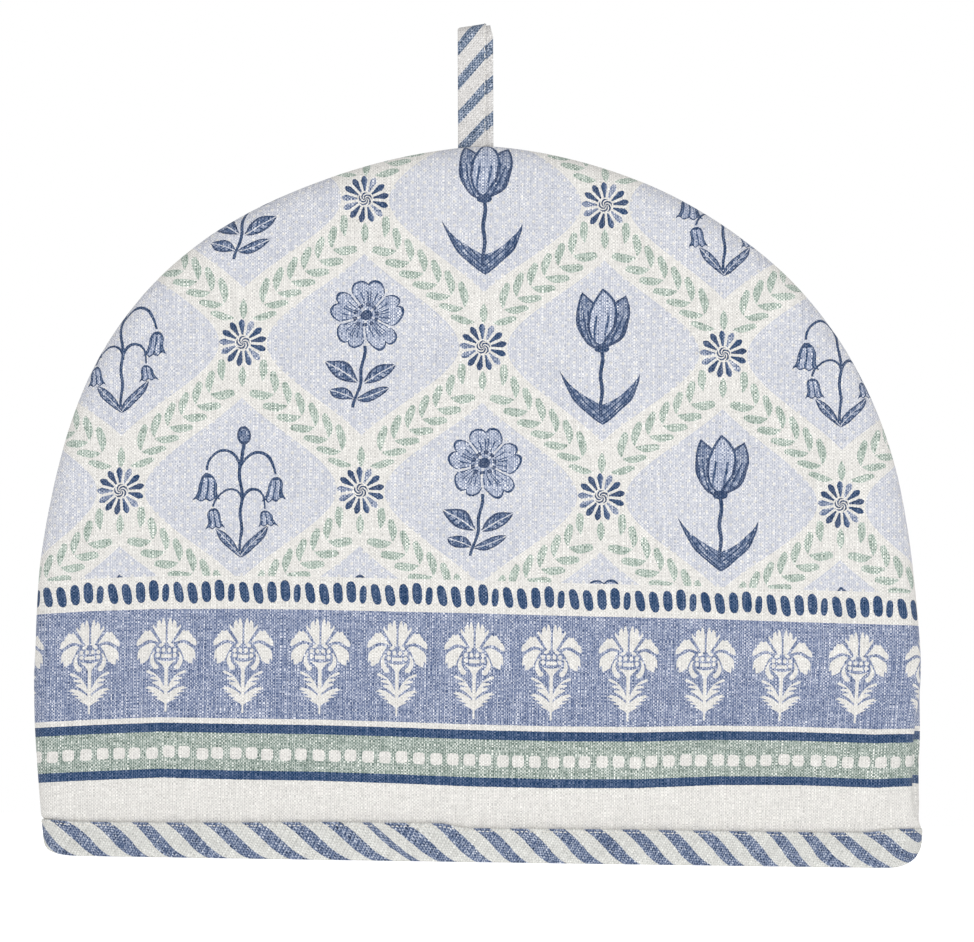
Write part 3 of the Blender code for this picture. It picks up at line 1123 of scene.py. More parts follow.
    def stand_off(self, s: np.ndarray, t: np.ndarray) -> np.ndarray:
        """Share of the spread by which the cloth stands off the seam."""
        across = np.clip(1 - s**2, 0, 1) ** self.across_power
        return across * (1 - np.clip(t, 0, 1) ** self.up_power) ** self.up_roundness

    def parting(self, x: np.ndarray, z: np.ndarray) -> np.ndarray:
        """The gap between the panels: wide round the loop's tail, else a hair.

        Args:
            x: Across.
            z: Up.

        Returns:
            Half the gap there.
        """
        beside_loop = np.abs(x - (self.loop_x - self.centre_at(np.array(self.crown))))
        flat = self.loop_half_width + self.part_margin
        near = (1 - smooth(flat, flat + self.part_fade, beside_loop)) * smooth(*self.part_levels, z)
        return self.seam_gap / 2 + (self.tail_half_gap - self.seam_gap / 2) * near

    def placed(self, x: np.ndarray, y: np.ndarray, z: np.ndarray, s: np.ndarray) -> np.ndarray:
        """Points in their final place, with the hem's corners lifted and the dome's lean.

        Args:
            x: Across.
            y: Depth.
            z: Up.
            s: -1 to 1 across the panel.

        Returns:
            The points.
        """
        from_end = (1 - np.abs(s)) * self.half_width_at(np.array(self.hem_edge))
        length, rise = (
            np.where(s < 0, *sides) for sides in zip(self.left_corner, self.right_corner)
        )
        fade = (self.binding_height - z) / (self.binding_height - self.lift_fade)
        height = z + rise * (1 - rounded(from_end / length)) * np.clip(fade, 0, 1)
        return np.stack([x + self.centre_at(height), y, height], axis=-1)

    def columns(self, count: int, crowding: float) -> np.ndarray:
        """Values of s, closest together at the seams."""
        even = np.linspace(-1, 1, count)
        return np.sign(even) * (1 - (1 - np.abs(even)) ** crowding)


class Side(Enum):
    """Which of the two panels, by the way it faces along Y."""

    FRONT = -1
    BACK = 1


def grid_verts(verts: Sequence[bmesh.types.BMVert]) -> list[bmesh.types.BMVert]:
    """A grid's vertices, row by row."""
    return sorted(verts, key=lambda vert: (round(vert.co.y, 5), vert.co.x))


def two_layers(
    name: str,
    layers: Sequence[np.ndarray],
    cloth: np.ndarray,
    materials: Sequence[bpy.types.Material],
    ring: bool = False,
) -> bpy.types.Object:
    """A closed body between two grids of points.

    Args:
        name: The piece's name.
        layers: The two grids in millimetres, each rows by columns by 3.
        cloth: The place on the cloth in millimetres, rows by columns by 2.
        materials: The first layer's material, and the second's if it has its own.
        ring: True if the last column meets the first.

    Returns:
        The piece.
    """
    rows, columns = cloth.shape[:2]
    bm = bmesh.new()
    number = bm.verts.layers.int.new("number")
    map_layer = bm.loops.layers.uv.new(CLOTH_MAP)
    bmesh.ops.create_grid(bm, x_segments=columns - 1, y_segments=rows - 1, size=1)
    first = grid_verts(bm.verts[:])
    made = bmesh.ops.extrude_face_region(bm, geom=bm.faces[:], use_keep_orig=True)["geom"]
    second = grid_verts([item for item in made if isinstance(item, bmesh.types.BMVert)])
    for verts, points in zip((first, second), layers):
        for index, (vert, point) in enumerate(zip(verts, points.reshape(-1, 3) * MM)):
            vert.co = point
            vert[number] = index
    inner = set(second)
    flat = cloth.reshape(-1, 2) * MM
    for face in bm.faces:
        face.material_index = int(len(materials) > 1 and inner.issuperset(face.verts))
        for loop in face.loops:
            loop[map_layer].uv = flat[loop.vert[number]]
    if ring:
        ends = [
            face
            for face in bm.faces
            if {vert[number] % columns for vert in face.verts} in ({0}, {columns - 1})
        ]
        bmesh.ops.delete(bm, geom=ends, context="FACES_ONLY")
        bmesh.ops.remove_doubles(bm, verts=bm.verts[:], dist=WELD)
    bm.verts.layers.int.remove(number)
    bmesh.ops.recalc_face_normals(bm, faces=bm.faces)
    if bm.calc_volume(signed=True) < 0:
        bmesh.ops.reverse_faces(bm, faces=bm.faces)
    return as_piece(name, bm, materials)


def as_piece(
    name: str, bm: bmesh.types.BMesh, materials: Sequence[bpy.types.Material]
) -> bpy.types.Object:
    """Makes a bmesh an object in the scene.

    Args:
        name: The object's name.
        bm: The shape, which is freed.
        materials: Its materials.

    Returns:
        The object.
    """
    mesh = bpy.data.meshes.new(name)
    bm.to_mesh(mesh)
    bm.free()
    mesh.shade_smooth()
    mesh.set_sharp_from_angle(angle=SHARP)
    for material in materials:
        mesh.materials.append(material)
    piece = bpy.data.objects.new(name, mesh)
    bpy.context.scene.collection.objects.link(piece)
    return piece


@dataclass(frozen=True)
class PrintPlacing:
    """How the printed cloth lies on a panel: its repeat's place and its bow."""

    shift: float = 0.0
    lift: float = 0.0
    levels: Pair = (34.0, 95.0)  # where the two bows that follow are measured
    lean_level: float = 83.0
    low_bow: Curve = (  # (place across, how far the lines at the foot of the print rise there)
        (-171.0, -1.7), (-148.0, -0.86), (-122.0, 0.11), (-94.0, -0.32), (-63.0, -0.35),
        (-32.0, -0.79), (-2.0, -1.46), (29.0, -1.49), (60.0, -1.0), (90.0, 0.57), (121.0, 1.2),
        (152.0, 0.76), (161.0, 1.3), (171.0, 1.62),
    )
    high_bow: Curve = (  # and how far the edge of the blue band rises
        (-171.0, -2.0), (-148.0, -0.42), (-122.0, 0.71), (-94.0, 1.11), (-63.0, 1.19),
        (-32.0, 0.93), (0.0, 0.72), (29.0, 0.33), (60.0, 0.07), (90.0, -0.06), (121.0, -0.69),
        (152.0, -1.04), (171.0, -1.3),
    )
    lean: Curve = (  # and how far the print leans there for each millimetre below the level
        (40.0, 0.0), (60.0, 0.006), (90.0, 0.012), (105.0, 0.022), (122.0, 0.033),
        (132.0, 0.045), (150.0, 0.05), (156.0, 0.032), (161.0, 0.012), (171.0, 0.0),
    )

    def on_cloth(self, x: np.ndarray, z: np.ndarray) -> np.ndarray:
        """The printed place under each point of the panel.

        Args:
            x: Across, from the panel's middle.
            z: Up, from the surface.

        Returns:
            The place on the cloth, with the print's slight bow taken out.
        """
        foot, top = self.levels
        low = np.clip((top - z) / (top - foot), 0, 1.2) * read_off(self.low_bow, x)
        high = np.clip(z / top, 0, 1.3) * read_off(self.high_bow, x)
        v = z + self.lift - low - high
        lean = np.clip(self.lean_level - v, 0, None) * read_off(self.lean, x)
        return np.stack([x + self.shift + lean, v], axis=-1)


@dataclass
class Panel:
    """One padded panel of the dome."""

    dome: Dome
    side: Side
    placing: PrintPlacing
    columns: int = 221
    rows: int = 171
    column_crowding: float = 1.7
    row_crowding: float = 1.5
    hem_rows: int = 14  # how many of the rows lie below the height that follows
    hem_height: float = 24.0
    middle_height: float = 75.0  # where the print's middle is the dome's own
    pucker: float = 0.35
    swell: float = 0.45
    slip: float = 3.7  # how far the front's edge has slipped in, low on the right
    slip_forward: float = 3.4
    slip_out: float = 1.8  # how far the back panel rolls round in its place
    slip_levels: tuple[float, float, float, float] = (12.0, 26.0, 46.0, 84.0)
    slip_reach: float = 16.0  # how far in from the edge the front is drawn aside
    forward_reach: float = 6.0  # and forward
    back_reach: float = 5.0  # and the back round

    def build(self, materials: Sequence[bpy.types.Material]) -> bpy.types.Object:
        """Builds the panel.

        Args:
            materials: The printed cloth and the plain cloth inside.

        Returns:
            The piece.
        """
        dome, facing = self.dome, self.side.value
        s, t = np.meshgrid(dome.columns(self.columns, self.column_crowding), self._rows())
        x, z = dome.plan(s, t)
        distance, along, outward = dome.from_edge(x, z)
        full = dome.spread * dome.stand_off(s, t)
        loft = dome.loft + (dome.hem_loft - dome.loft) * dome.squeeze(z)
        away = dome.parting(x, z) + loft * rounded(distance / dome.roll) + full
        away = away + self._relief(x, z, distance, along)
        extra = self._roll_extra(distance)[..., None] * outward
        cloth = self.placing.on_cloth(x + extra[..., 0], z + extra[..., 1])
        cloth[..., 0] += dome.centre_at(z) - dome.centre_at(np.array(self.middle_height))
        if self.side is Side.BACK:
            cloth[..., 0] = self.placing.shift - (cloth[..., 0] - self.placing.shift)
        outer = dome.placed(*self._slipped(x, facing * away, z, distance, s), z, s)
        inner_x = x * (1 - dome.allowance / dome.half_width)
        inner_z = dome.hem_edge + (z - dome.hem_edge) * (1 - dome.allowance / dome.crown)
        inner_away = dome.parting(inner_x, inner_z) + full
        inner = dome.placed(inner_x, facing * inner_away, inner_z, s)
        name = f"{self.side.name.lower()}_panel_cloth"
        return two_layers(name, (outer, inner), cloth, materials)

    def _rows(self) -> np.ndarray:
        """The grid's rows.

        Returns:
            Values of t, closer together at the hem and at the crown.
        """
        start = self.dome.row_at(self.hem_height)
        hem = np.linspace(0, start, self.hem_rows + 1)[:-1]
        share = np.linspace(0, 1, self.rows - self.hem_rows)
        return np.concatenate([hem, start + (1 - start) * (1 - (1 - share) ** self.row_crowding)])

    def _roll_extra(self, distance: np.ndarray) -> np.ndarray:
        """How much longer the cloth is over the rolled edge than it looks from the front.

        Args:
            distance: From the sewn edge.

        Returns:
            The extra length there.
        """
        share = np.linspace(1, 0, 400)
        profile = np.stack([share * self.dome.roll, self.dome.loft * rounded(share)], axis=1)
        extra = runs(profile) - self.dome.roll * (1 - share)
        return np.interp(distance / self.dome.roll, share[::-1], extra[::-1])

    def _relief(
        self, x: np.ndarray, z: np.ndarray, distance: np.ndarray, along: np.ndarray
    ) -> np.ndarray:
        """Small puckers along the seam and soft swells in the wadding.

        Args:
            x: Across.
            z: Up.
            distance: From the sewn edge.
            along: Along the sewn edge.

        Returns:
            How far each point stands out.
        """
        turn = 1.0 if self.side is Side.FRONT else 2.7
        wave = np.sin(along / 2.1 + turn) + 0.8 * np.sin(along / 3.37 + 1.7 * turn)
        wave = wave + 0.7 * np.sin(along / 7.9 + 0.6)
        near = np.exp(-distance / 6.0) * np.clip(distance / 1.2, 0, 1)
        swell = np.sin(x / 31 + 0.8 * np.sin(z / 40 + turn)) * np.sin(z / 27 + 0.5 * turn)
        swell = swell + 0.6 * np.sin(x / 14 + z / 23 + turn)
        inside = smooth(4, 40, distance) * smooth(18, 50, z)
        return self.pucker * wave * near * smooth(14, 30, z) + self.swell * swell * inside

    def _slipped(
        self, x: np.ndarray, y: np.ndarray, z: np.ndarray, distance: np.ndarray, s: np.ndarray
    ) -> tuple[np.ndarray, np.ndarray]:
        """Pulls the seam round to the front, low on the right.

        Args:
            x: Across.
            y: Depth.
            z: Up.
            distance: From the sewn edge.
            s: The grid's place across.

        Returns:
            x and y after the pull.
        """
        low, full, fading, gone = self.slip_levels
        amount = smooth(low, full, z) * (1 - smooth(fading, gone, z)) * (s > 0)
        if self.side is Side.FRONT:
            reach = 1 - np.clip(distance / self.slip_reach, 0, 1)
            close = 1 - np.clip(distance / self.forward_reach, 0, 1)
            return x - self.slip * amount * reach, y - self.slip_forward * amount * close
        near = 1 - np.clip(distance / self.back_reach, 0, 1)
        out = self.slip_out * np.sin(math.pi * near) - self.slip * near**3
        return x + amount * out, y - self.slip_forward * amount * near**1.5


@dataclass
class Strip:
    """A folded strip of cloth: every point of its section runs along its own line."""

    dome: Dome
    cloth: float  # thickness

    def section(self) -> np.ndarray:
        """The middle of the folded cloth, from one hidden edge to the other."""
        raise NotImplementedError

    def line(self, *point: float) -> np.ndarray:
        """The line that one point of the section runs along."""
        raise NotImplementedError

    def faces(self) -> list[np.ndarray]:
        """The grids of points on the cloth's two faces."""
        sides = (beside(self.section(), side * self.cloth / 2) for side in (-1, 1))
        return [np.stack([self.line(*point) for point in side]) for side in sides]


@dataclass
class HemBinding(Strip):
    """The striped strip, folded over the hem and turned under along both edges."""

    cloth: float = 0.6
    columns: int = 261
    crowding: float = 1.5
    face: float = 1.5  # from the panel to the middle of the strip's outer layer
    under: float = 0.8  # and to the middle of the layer that is turned under
    turned: float = 6.0
    top: float = 13.2
    inner_top: float = 12.5
    blunt: float = 0.3
    inner_start: float = 0.7  # further in than this the strip keeps to the panels' inner sides
    rise_foot: float = 6.0  # the top edge's rises fade out down to here
    level: float = 7.0  # where lengths round the strip are measured
    repeat: float = 14.8  # of the stripes
    stitch_level: float = 12.0
    stitch_pitch: float = 1.65
    fall: float = 12.5  # how far a stripe runs on between the strip's top edge and the hem
    stripes: tuple[float, ...] = (  # where each stripe crosses the front
        -164.2, -148.6, -132.4, -119.4, -105.3, -90.4, -75.2, -60.0, -44.1, -36.5, -18.1, -2.3,
        11.9, 26.6, 40.0, 54.4, 68.5, 81.6, 95.2, 109.5, 121.9, 133.8, 146.5, 160.6,
    )
    joint: Curve = ((-44.1, 0.0), (-40.3, 0.34), (-36.5, 0.5))  # the pattern jumps at the join
    joint_run: float = 1.35  # how far the join runs on for each millimetre of the fall
    leans: Curve = (  # (place across the front, how much further the stripes run on there)
        (-164.0, 0.4), (-154.0, 0.44), (-141.0, 0.2), (-127.0, 0.21), (-113.0, 0.33),
        (-82.0, 0.42), (-67.0, 0.49), (-51.0, 0.51), (-26.0, 0.5), (-10.0, 0.38), (20.0, 0.23),
        (42.0, 0.31), (55.0, 0.33), (76.0, 0.25), (90.0, 0.34), (103.0, 0.22), (129.0, 0.21),
        (143.0, 0.54), (156.0, 0.72), (165.0, 0.72),
    )
    rises: Curve = (  # (place across, how far the strip's top edge rises there)
        (-171.0, 0.9), (-166.0, 0.7), (-160.0, 0.2), (-150.0, 0.0), (-122.0, 0.2), (-94.0, 0.6),
        (-60.0, 1.4), (-15.0, 1.5), (-6.0, -0.2), (60.0, 0.2), (130.0, 0.1), (148.0, 0.4),
        (157.0, 1.8), (168.0, 2.2),
    )
    foot: Curve = (  # (offset, height) down to the fold, whose middle is half the cloth up
        (1.5, 10.0), (1.52, 7.0), (1.5, 4.0), (1.42, 2.4), (1.1, 1.2), (0.5, 0.36), (-0.3, 0.3),
    )

    def section(self) -> np.ndarray:
        """The middle of the folded cloth.

        Returns:
            Points as (offset, height), with offsets below 0 inside the panels.
        """
        fold, middle = (self.face - self.under) / 2, (self.face + self.under) / 2
        turn = np.linspace(0, math.pi, 7)
        over = np.stack([middle - fold * np.cos(turn), np.sin(turn) * fold], axis=1)
        outside = over + (0, self.top - self.cloth / 2 - fold)
        inside = over[::-1] * (-1, 1) + (0, self.inner_top - self.cloth / 2 - fold)
        foot = np.array(self.foot)
        foot = np.concatenate([foot, foot[-2::-1] * (-1, 1)])
        start = [(self.under, outside[0, 1] - self.turned), (self.under, outside[0, 1] - 2.0)]
        end = [(-self.under, inside[-1, 1] - 2.0), (-self.under, inside[-1, 1] - self.turned)]
        return np.concatenate([start, outside, foot, inside[:-1], end])

    def build(self, material: bpy.types.Material) -> bpy.types.Object:
        """Builds the strip.

        Args:
            material: Its cloth.

        Returns:
            The piece.
        """
        section = self.section()
        ring = self.line(self.face, self.level)
        run = runs(ring)
        leans = read_off(self.leans, ring[:, 0])
        leans[self.columns :] = 0
        down = np.clip(1 - section[:, 1] / self.top, 0, 1)[:, None] * self.fall
        spots, jumps = np.array(self.joint).T
        places = np.interp(spots, ring[: self.columns, 0], run[: self.columns])
        jump = np.interp(run - down * self.joint_run, places, jumps)
        along = self._stripe_places(ring, run) + jump * self.repeat - leans * down
        cloth = np.stack(np.broadcast_arrays(along, runs(section)[:, None]), axis=-1)
        return two_layers("hem_binding_strip", self.faces(), cloth, [material], ring=True)

    def stitched(self, thread: bpy.types.Material) -> bpy.types.Object:
        """Builds the stitches round the strip's outer face.

        Args:
            thread: Their material.

        Returns:
            The piece.
        """
        line = self.line(self.face + self.cloth / 2 + STITCH_LIFT, self.stitch_level)
        reach = runs(line)[-1]
        stops = np.linspace(0, reach, int(reach / self.stitch_pitch), endpoint=False)
        stitches = Stitches("hem_stitches", length=1.15, width=0.46, wander=0.1)
        return stitches.build(line, stops, thread)

    def _stripe_places(self, ring: np.ndarray, run: np.ndarray) -> np.ndarray:
        """Stretches the cloth so that its stripes cross the front at their places.

        Args:
            ring: The points round the strip.
            run: The millimetres along it at each.

        Returns:
            The place along the cloth at each.
        """
        place, jump = self.joint[-1]
        spots, turn = np.array(self.stripes), run[self.columns - 1]
        numbers = np.arange(len(spots)) - jump * (spots >= place)
        stops = np.interp(spots, ring[: self.columns, 0], run[: self.columns])
        first = numbers[0] - stops[0] / self.repeat
        last = numbers[-1] + (turn - stops[-1]) / self.repeat
        whole = first - jump + round(last + jump - first + (run[-1] - turn) / self.repeat)
        stops = np.concatenate([[0.0], stops, [turn, run[-1]]])
        numbers = np.concatenate([[first], numbers, [last, whole]])
        return np.interp(run, stops, numbers) * self.repeat

    def line(self, offset: float, z: float) -> np.ndarray:
        """The closed ring of points at an offset from the panels and a height.

        Args:
            offset: Outwards from the panels' printed sides, or below 0, inwards from them.
            z: The height.

        Returns:
            The points, the last of which repeats the first.
        """
        columns = self.dome.columns(self.columns, self.crowding)
        flat = self._outer(columns, z, max(offset, 0.0))
        if offset < 0:
            share = min(-offset / self.inner_start, 1.0)
            flat = flat * (1 - share) + self._inner(columns, z, -offset) * share
        around = np.append(columns, columns[-2:0:-1])
        rise = read_off(self.rises, flat[:, 0]) * smooth(self.rise_foot, self.top, z)
        ring = self.dome.placed(*flat.T, z + rise, around)
        return np.concatenate([ring, ring[:1]])

    def _outer(self, columns: np.ndarray, z: float, distance: float) -> np.ndarray:
        """The ring this far outside the panels' printed sides, seen from above.

        Args:
            columns: The places round half of it.
            z: Its height.
            distance: How far outside.

        Returns:
            Its points.
        """
        dome = self.dome
        rows = np.full_like(columns, max(dome.row_at(z), 0.0))
        x, _ = dome.plan(columns, rows)
        roll = rounded((1 - np.abs(columns)) * np.abs(x).max() / dome.roll)
        away = dome.seam_gap / 2 + dome.hem_loft * roll
        away = away + dome.spread * dome.stand_off(columns, rows)
        ring = self._closed(x, away)
        right = (np.roll(ring, -1, axis=0) - np.roll(ring, 1, axis=0))[:, ::-1] * (1, -1)
        return ring + distance * right / np.linalg.norm(right, axis=1, keepdims=True)

    def _inner(self, columns: np.ndarray, z: float, distance: float) -> np.ndarray:
        """The ring this far inside the panels, blunt where their inner sides meet.

        Args:
            columns: The places round half of it.
            z: Its height.
            distance: How far inside.

        Returns:
            Its points.
        """
        dome = self.dome
        rows = np.full_like(columns, max(dome.row_at(z), 0.0))
        left = (distance + self.blunt) / dome.spread
        columns = columns * math.sqrt(1 - left ** (1 / dome.across_power))
        x = dome.plan(columns, rows)[0] * (1 - dome.allowance / dome.half_width)
        away = dome.seam_gap / 2 + dome.spread * dome.stand_off(columns, rows)
        return self._closed(x, np.maximum(away - distance, self.blunt))

    @staticmethod
    def _closed(x: np.ndarray, away: np.ndarray) -> np.ndarray:
        """The closed ring through (x, -away) and (x, away), pointed at its ends.

        Args:
            x: Across.
            away: Half the ring's depth there.

        Returns:
            Its points.
        """
        front = np.stack([x, -away], axis=1)
        front[[0, -1], 1] = 0
        return np.concatenate([front, front[-2:0:-1] * (1, -1)])


@dataclass
class HangingLoop(Strip):
    """The folded strip that stands in the seam at the crown."""

    cloth: float = 0.40
    top: float = 321.1
    thickness: float = 1.8
    gap: float = 8.0  # between the middles of its legs, under the fold
    tail_spacing: float = 2.2
    tail_end: float = 267.6
    slant: float = 0.17
    shift: float = -0.77
    drift: float = -0.018
    half: float = 6.8
    flap: float = 4.2  # the front layer ends here, and the back layer shows beyond
    outer: float = 0.66  # from the middle of the strip to its outer layers
    inner: float = 0.22  # and to the edges that are turned in
    eased_back: float = 0.92  # the stripes on the back layer are eased to this share
    eased_edge: float = 0.83  # and to this one on its turned-in edge
    fold_depth: float = 6.0  # the crown of the fold reaches this far down
    corner: Pair = (4.0, 2.8)  # its rounded corner's start across, and width
    corner_drop: float = 2.9
    corner_pull: float = 1.1
    step: float = 1.7  # how far the back layer stands up past the flap there
    step_span: Pair = (3.8, 4.3)
    leg_steps: int = 40
    fold_steps: int = 22
    edge_steps: int = 7  # of the section, in the turned-in edge
    stitch_across: float = 3.5
    stitch_pitch: float = 2.6
    stitch_margin: float = 8.0  # without stitches, at either end of the strip

    def centre_line(self) -> np.ndarray:
        """The middle of the strip, up the front leg and down the back.

        Returns:
            Points as (y, z).
        """
        tail, half = self.tail_spacing / 2, self.gap / 2
        centre = self.top - self.thickness / 2 - half
        leg = np.linspace(0, 1, self.leg_steps)
        y = tail + (half - tail) * smooth(0, 1, leg**0.8)
        z = self.dome.crown + leg * (centre - self.dome.crown)
        turn = np.linspace(0, math.pi, self.fold_steps + 1)[1:-1]
        front = np.stack([np.append(tail, y) * -1, np.append(self.tail_end, z)], axis=1)
        fold = np.stack([-half * np.cos(turn), centre + half * np.sin(turn)], axis=1)
        return np.concatenate([front, fold, front[::-1] * (-1, 1)])

    def section(self) -> np.ndarray:
        """The middle of the folded cloth.

        Returns:
            Points as (place across, offset), with offsets below 0 behind.
        """
        fold, middle = (self.outer - self.inner) / 2, (self.outer + self.inner) / 2
        turn = np.linspace(-math.pi / 2, math.pi / 2, 6)
        right = np.stack([np.cos(turn) * fold, np.sin(turn) * fold + middle], axis=1)
        front = right + (self.flap - fold - self.cloth / 2, 0)
        back = right[::-1] * (1, -1) + (self.half - fold - self.cloth / 2, 0)
        bend = np.linspace(math.pi / 2, 3 * math.pi / 2, 10)
        left = np.stack([np.cos(bend), np.sin(bend)], axis=1) * self.outer
        left = left - (self.half - self.outer - self.cloth / 2, 0)
        flat = np.array([(2.0, self.outer), (-1.0, self.outer), (-4.0, self.outer)])
        start = [(-1.0, self.inner), (2.0, self.inner)]
        end = [(3.0, -self.inner), (1.0, -self.inner)]
        return np.concatenate([start, front, flat, left, flat[::-1] * (1, -1), back, end])

    def build(self, material: bpy.types.Material) -> bpy.types.Object:
        """Builds the strip.

        Args:
            material: Its cloth.

        Returns:
            The piece.
        """
        section = self.section()
        spans = np.diff(runs(section))
        behind = (section[1:, 1] < -self.outer * 0.9) & (spans > 1.0)
        spans[behind] *= self.eased_back
        spans[-self.edge_steps :] *= self.eased_edge
        across = np.append(0.0, np.cumsum(spans))
        run = runs(self.centre_line())
        cloth = np.stack(np.broadcast_arrays(run, across[:, None]), axis=-1)
        return two_layers("hanging_loop_strip", self.faces(), cloth, [material])

    def stitched(self, thread: bpy.types.Material) -> bpy.types.Object:
        """Builds the stitches up the strip's outer face and down again.

        Args:
            thread: Their material.

        Returns:
            The piece.
        """
        line = self.line(self.stitch_across, self.outer + self.cloth / 2 + STITCH_LIFT)
        end = runs(line)[-1] - self.stitch_margin
        stitches = Stitches("loop_stitches", length=2.1, width=0.3, wander=0.05, seed=8)
        return stitches.build(line, np.arange(self.stitch_margin, end, self.stitch_pitch), thread)

    def line(self, across: float, out: float) -> np.ndarray:
        """The points at one place of the section, all along the strip.

        Args:
            across: The place across the strip.
            out: The offset from its middle.

        Returns:
            The points.
        """
        y, z = beside(self.centre_line(), -out).T
        above = np.maximum(z - self.dome.crown, 0)
        near_top = smooth(self.top - self.fold_depth, self.top, z)
        start, width = self.corner
        round_off = np.clip((across - start) / width, 0, 1) ** 3 * near_top
        rise = self.slant * across * above / (self.top - self.dome.crown)
        rise = rise + self.step * smooth(*self.step_span, across) * (out < 0) * near_top
        x = self.dome.loop_x + self.shift + across + self.drift * above
        x = x - self.corner_pull * round_off
        return np.stack([x, y, z + rise - self.corner_drop * round_off], axis=1)


@dataclass
class Stitches:
    """A line of short stitches, as one piece."""

    name: str
    length: float
    width: float
    wander: float
    seed: int = 3
    sight: float = 0.5  # each stitch points at the line's place this much further on

    def build(
        self, line: np.ndarray, stops: np.ndarray, material: bpy.types.Material
    ) -> bpy.types.Object:
        """Builds the stitches.

        Args:
            line: The line that they follow, in millimetres.
            stops: Each stitch's place along it.
            material: The thread.

        Returns:
            The piece.
        """
        run = runs(line)
        places, ahead = (
            np.stack([np.interp(stops + step, run, part) for part in line.T], axis=1)
            for step in (0.0, self.sight)
        )
        chance = random.Random(self.seed)
        sides = (side / 2 * MM for side in (self.length, self.width, self.width))
        size = Matrix.Diagonal((*sides, 1))
        bm = bmesh.new()
        for place, way in zip(places, ahead - places):
            turn = Vector(way).to_track_quat("X", "Z").to_matrix().to_4x4()
            stray = Vector((0, 0, chance.uniform(-1, 1) * self.wander * MM))
            matrix = Matrix.Translation(Vector(place) * MM + stray) @ turn @ size
            bmesh.ops.create_uvsphere(bm, u_segments=6, v_segments=4, radius=1, matrix=matrix)
        return as_piece(self.name, bm, [material])


@dataclass
class Studio:
    """Floor, backdrop, lights and camera, in metres."""

    distance: float = 8.0
    frame_width: float = 0.3737
    height: float = 0.03  # the camera stands low and looks a little up
    aim: Pair = (0.0011, 0.15)
    roll: float = 0.85
    sensor: float = 36.0
    fill: float = 0.41
    key: float = 55.0
    top: float = 16.5
    behind: float = 36.0
    lit_height: float = 0.14

    def build(self) -> None:
        """Builds the studio."""
        self._camera()
        self._floor()
        self._backdrop()
        self._light("key", (0.3, -3.2, 1.5), 3.0, self.key)
        self._light("top", (0.0, -0.6, 3.4), 2.6, self.top)
        self._light("behind", (-0.3, 3.2, 1.5), 3.0, self.behind)
        world = bpy.data.worlds.new("studio")
        world.use_nodes = True
        background = world.node_tree.nodes["Background"].inputs
        background[0].default_value = (1.0, 1.0, 1.0, 1.0)
        background[1].default_value = self.fill
        bpy.context.scene.world = world
        bpy.context.scene.view_settings.view_transform = "Standard"

    def _camera(self) -> None:
        """The camera, square to the front panel and a little rolled."""
        data = bpy.data.cameras.new("camera")
        data.sensor_width = self.sensor
        data.lens = self.sensor * self.distance / self.frame_width
        data.clip_end = 60.0
        rise = math.atan((self.aim[1] - self.height) / self.distance)
        level = Matrix.Rotation(math.pi / 2 + rise, 4, "X")
        roll = Matrix.Rotation(math.radians(self.roll), 4, "Z")
        camera = bpy.data.objects.new("camera", data)
        camera.location = (self.aim[0], -self.distance, self.height)
        camera.rotation_euler = (level @ roll).to_euler()
        bpy.context.scene.collection.objects.link(camera)
        bpy.context.scene.camera = camera

    def _floor(self) -> None:
        """The floor, a wide round plate whose top is the surface."""
        bm = bmesh.new()
        bmesh.ops.create_circle(bm, cap_ends=True, segments=64, radius=9.0)
        floor = as_piece("floor", bm, [PaleFloor().material()])

    def _backdrop(self) -> None:
        """A white surround that the camera sees and that sheds no light."""
        bm = bmesh.new()
        bmesh.ops.create_uvsphere(bm, u_segments=48, v_segments=24, radius=12.0)
        bmesh.ops.reverse_faces(bm, faces=bm.faces)
        white = Paint("white_surround").surface("Emission", {0: (1.0, 1.0, 1.0, 1.0), 1: 1.0})
        surround = as_piece("surround", bm, [white])
        surround.visible_diffuse = False
        surround.visible_glossy = False
        surround.visible_shadow = False

    def _light(
        self, name: str, place: tuple[float, float, float], size: float, power: float
    ) -> None:
        """A square softbox aimed at the cosy.

        Args:
            name: The light's name.
            place: Where it stands.
            size: Its side.
            power: Its power in watts.
        """
        data = bpy.data.lights.new(name, "AREA")
        data.size = size
        data.energy = power
        light = bpy.data.objects.new(name, data)
        light.location = place
        towards = Vector((0, 0, self.lit_height)) - Vector(place)
        light.rotation_euler = towards.to_track_quat("-Z", "Y").to_euler()
        bpy.context.scene.collection.objects.link(light)


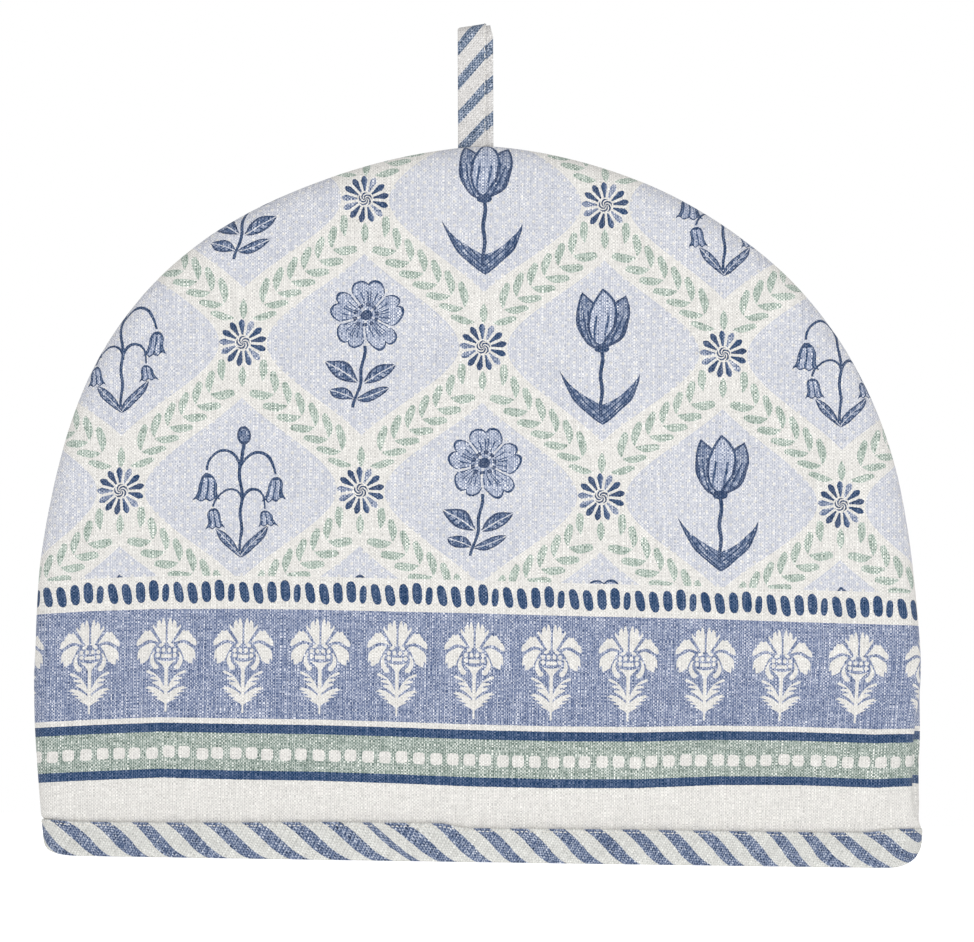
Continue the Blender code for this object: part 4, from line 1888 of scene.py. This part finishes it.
@dataclass
class TeaCosy:
    """The whole cosy."""

    dome: Dome = field(default_factory=Dome)

    def build(self) -> None:
        """Builds the cosy's pieces and ties each to the frame."""
        printed, plain = PrintedCloth().material(), PlainCloth().material()
        thread = SewingThread().material()
        self._panel(Panel(self.dome, Side.FRONT, PrintPlacing()), (printed, plain))
        self._panel(Panel(self.dome, Side.BACK, PrintPlacing(11.0, -1.2)), (printed, plain))
        self._binding(thread)
        self._loop(thread)

    def _panel(self, panel: Panel, materials: Sequence[bpy.types.Material]) -> None:
        """Builds one panel.

        Args:
            panel: The panel.
            materials: Its cloths.
        """
        piece = panel.build(materials)
        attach(piece, "root")
        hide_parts(f"{panel.side.name.lower()}_panel")
        report(piece)

    def _binding(self, thread: bpy.types.Material) -> None:
        """Builds the hem's strip and its stitches.

        Args:
            thread: The stitches' material.
        """
        strip = HemBinding(self.dome)
        cloth = StripedStrip(
            name="binding_stripes",
            repeat=strip.repeat,
            share=0.465,
            slant=-0.947,
            shift=6.25,
            sweep=((0.0, 0.5), (0.12, 0.355), (0.45, 0.5), (0.8, 0.78), (1.0, 0.5)),
            sweep_span=(6.6, 19.6),
            sweep_size=4.0,
        )
        piece = strip.build(cloth.material())
        stitches = strip.stitched(thread)
        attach(piece, "root")
        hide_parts("hem_binding")
        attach(stitches, "root")
        report(piece)
        report(stitches)

    def _loop(self, thread: bpy.types.Material) -> None:
        """Builds the hanging loop and its stitches.

        Args:
            thread: The stitches' material.
        """
        strip = HangingLoop(self.dome)
        cloth = StripedStrip(
            name="loop_stripes",
            repeat=13.5,
            share=0.40,
            slant=1.07,
            shift=8.1,
            # The loop is the same cloth as the binding; its darker cream is painted shade.
            cream=dyed(201, 199, 197),
            blue=dyed(83, 104, 132),
        )
        piece = strip.build(cloth.material())
        stitches = strip.stitched(thread)
        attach(piece, "root")
        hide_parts("hanging_loop")
        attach(stitches, "root")
        report(piece)
        report(stitches)


def report(piece: bpy.types.Object) -> None:
    """Logs a finished piece."""
    LOG.info("%s: %d faces", piece.name, len(piece.data.polygons))


def main() -> None:
    """Builds the studio and the cosy."""
    logging.basicConfig(level=logging.INFO, format="%(name)s: %(message)s")
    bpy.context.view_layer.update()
    Studio().build()
    TeaCosy().build()


if __name__ == "__main__":
    main()
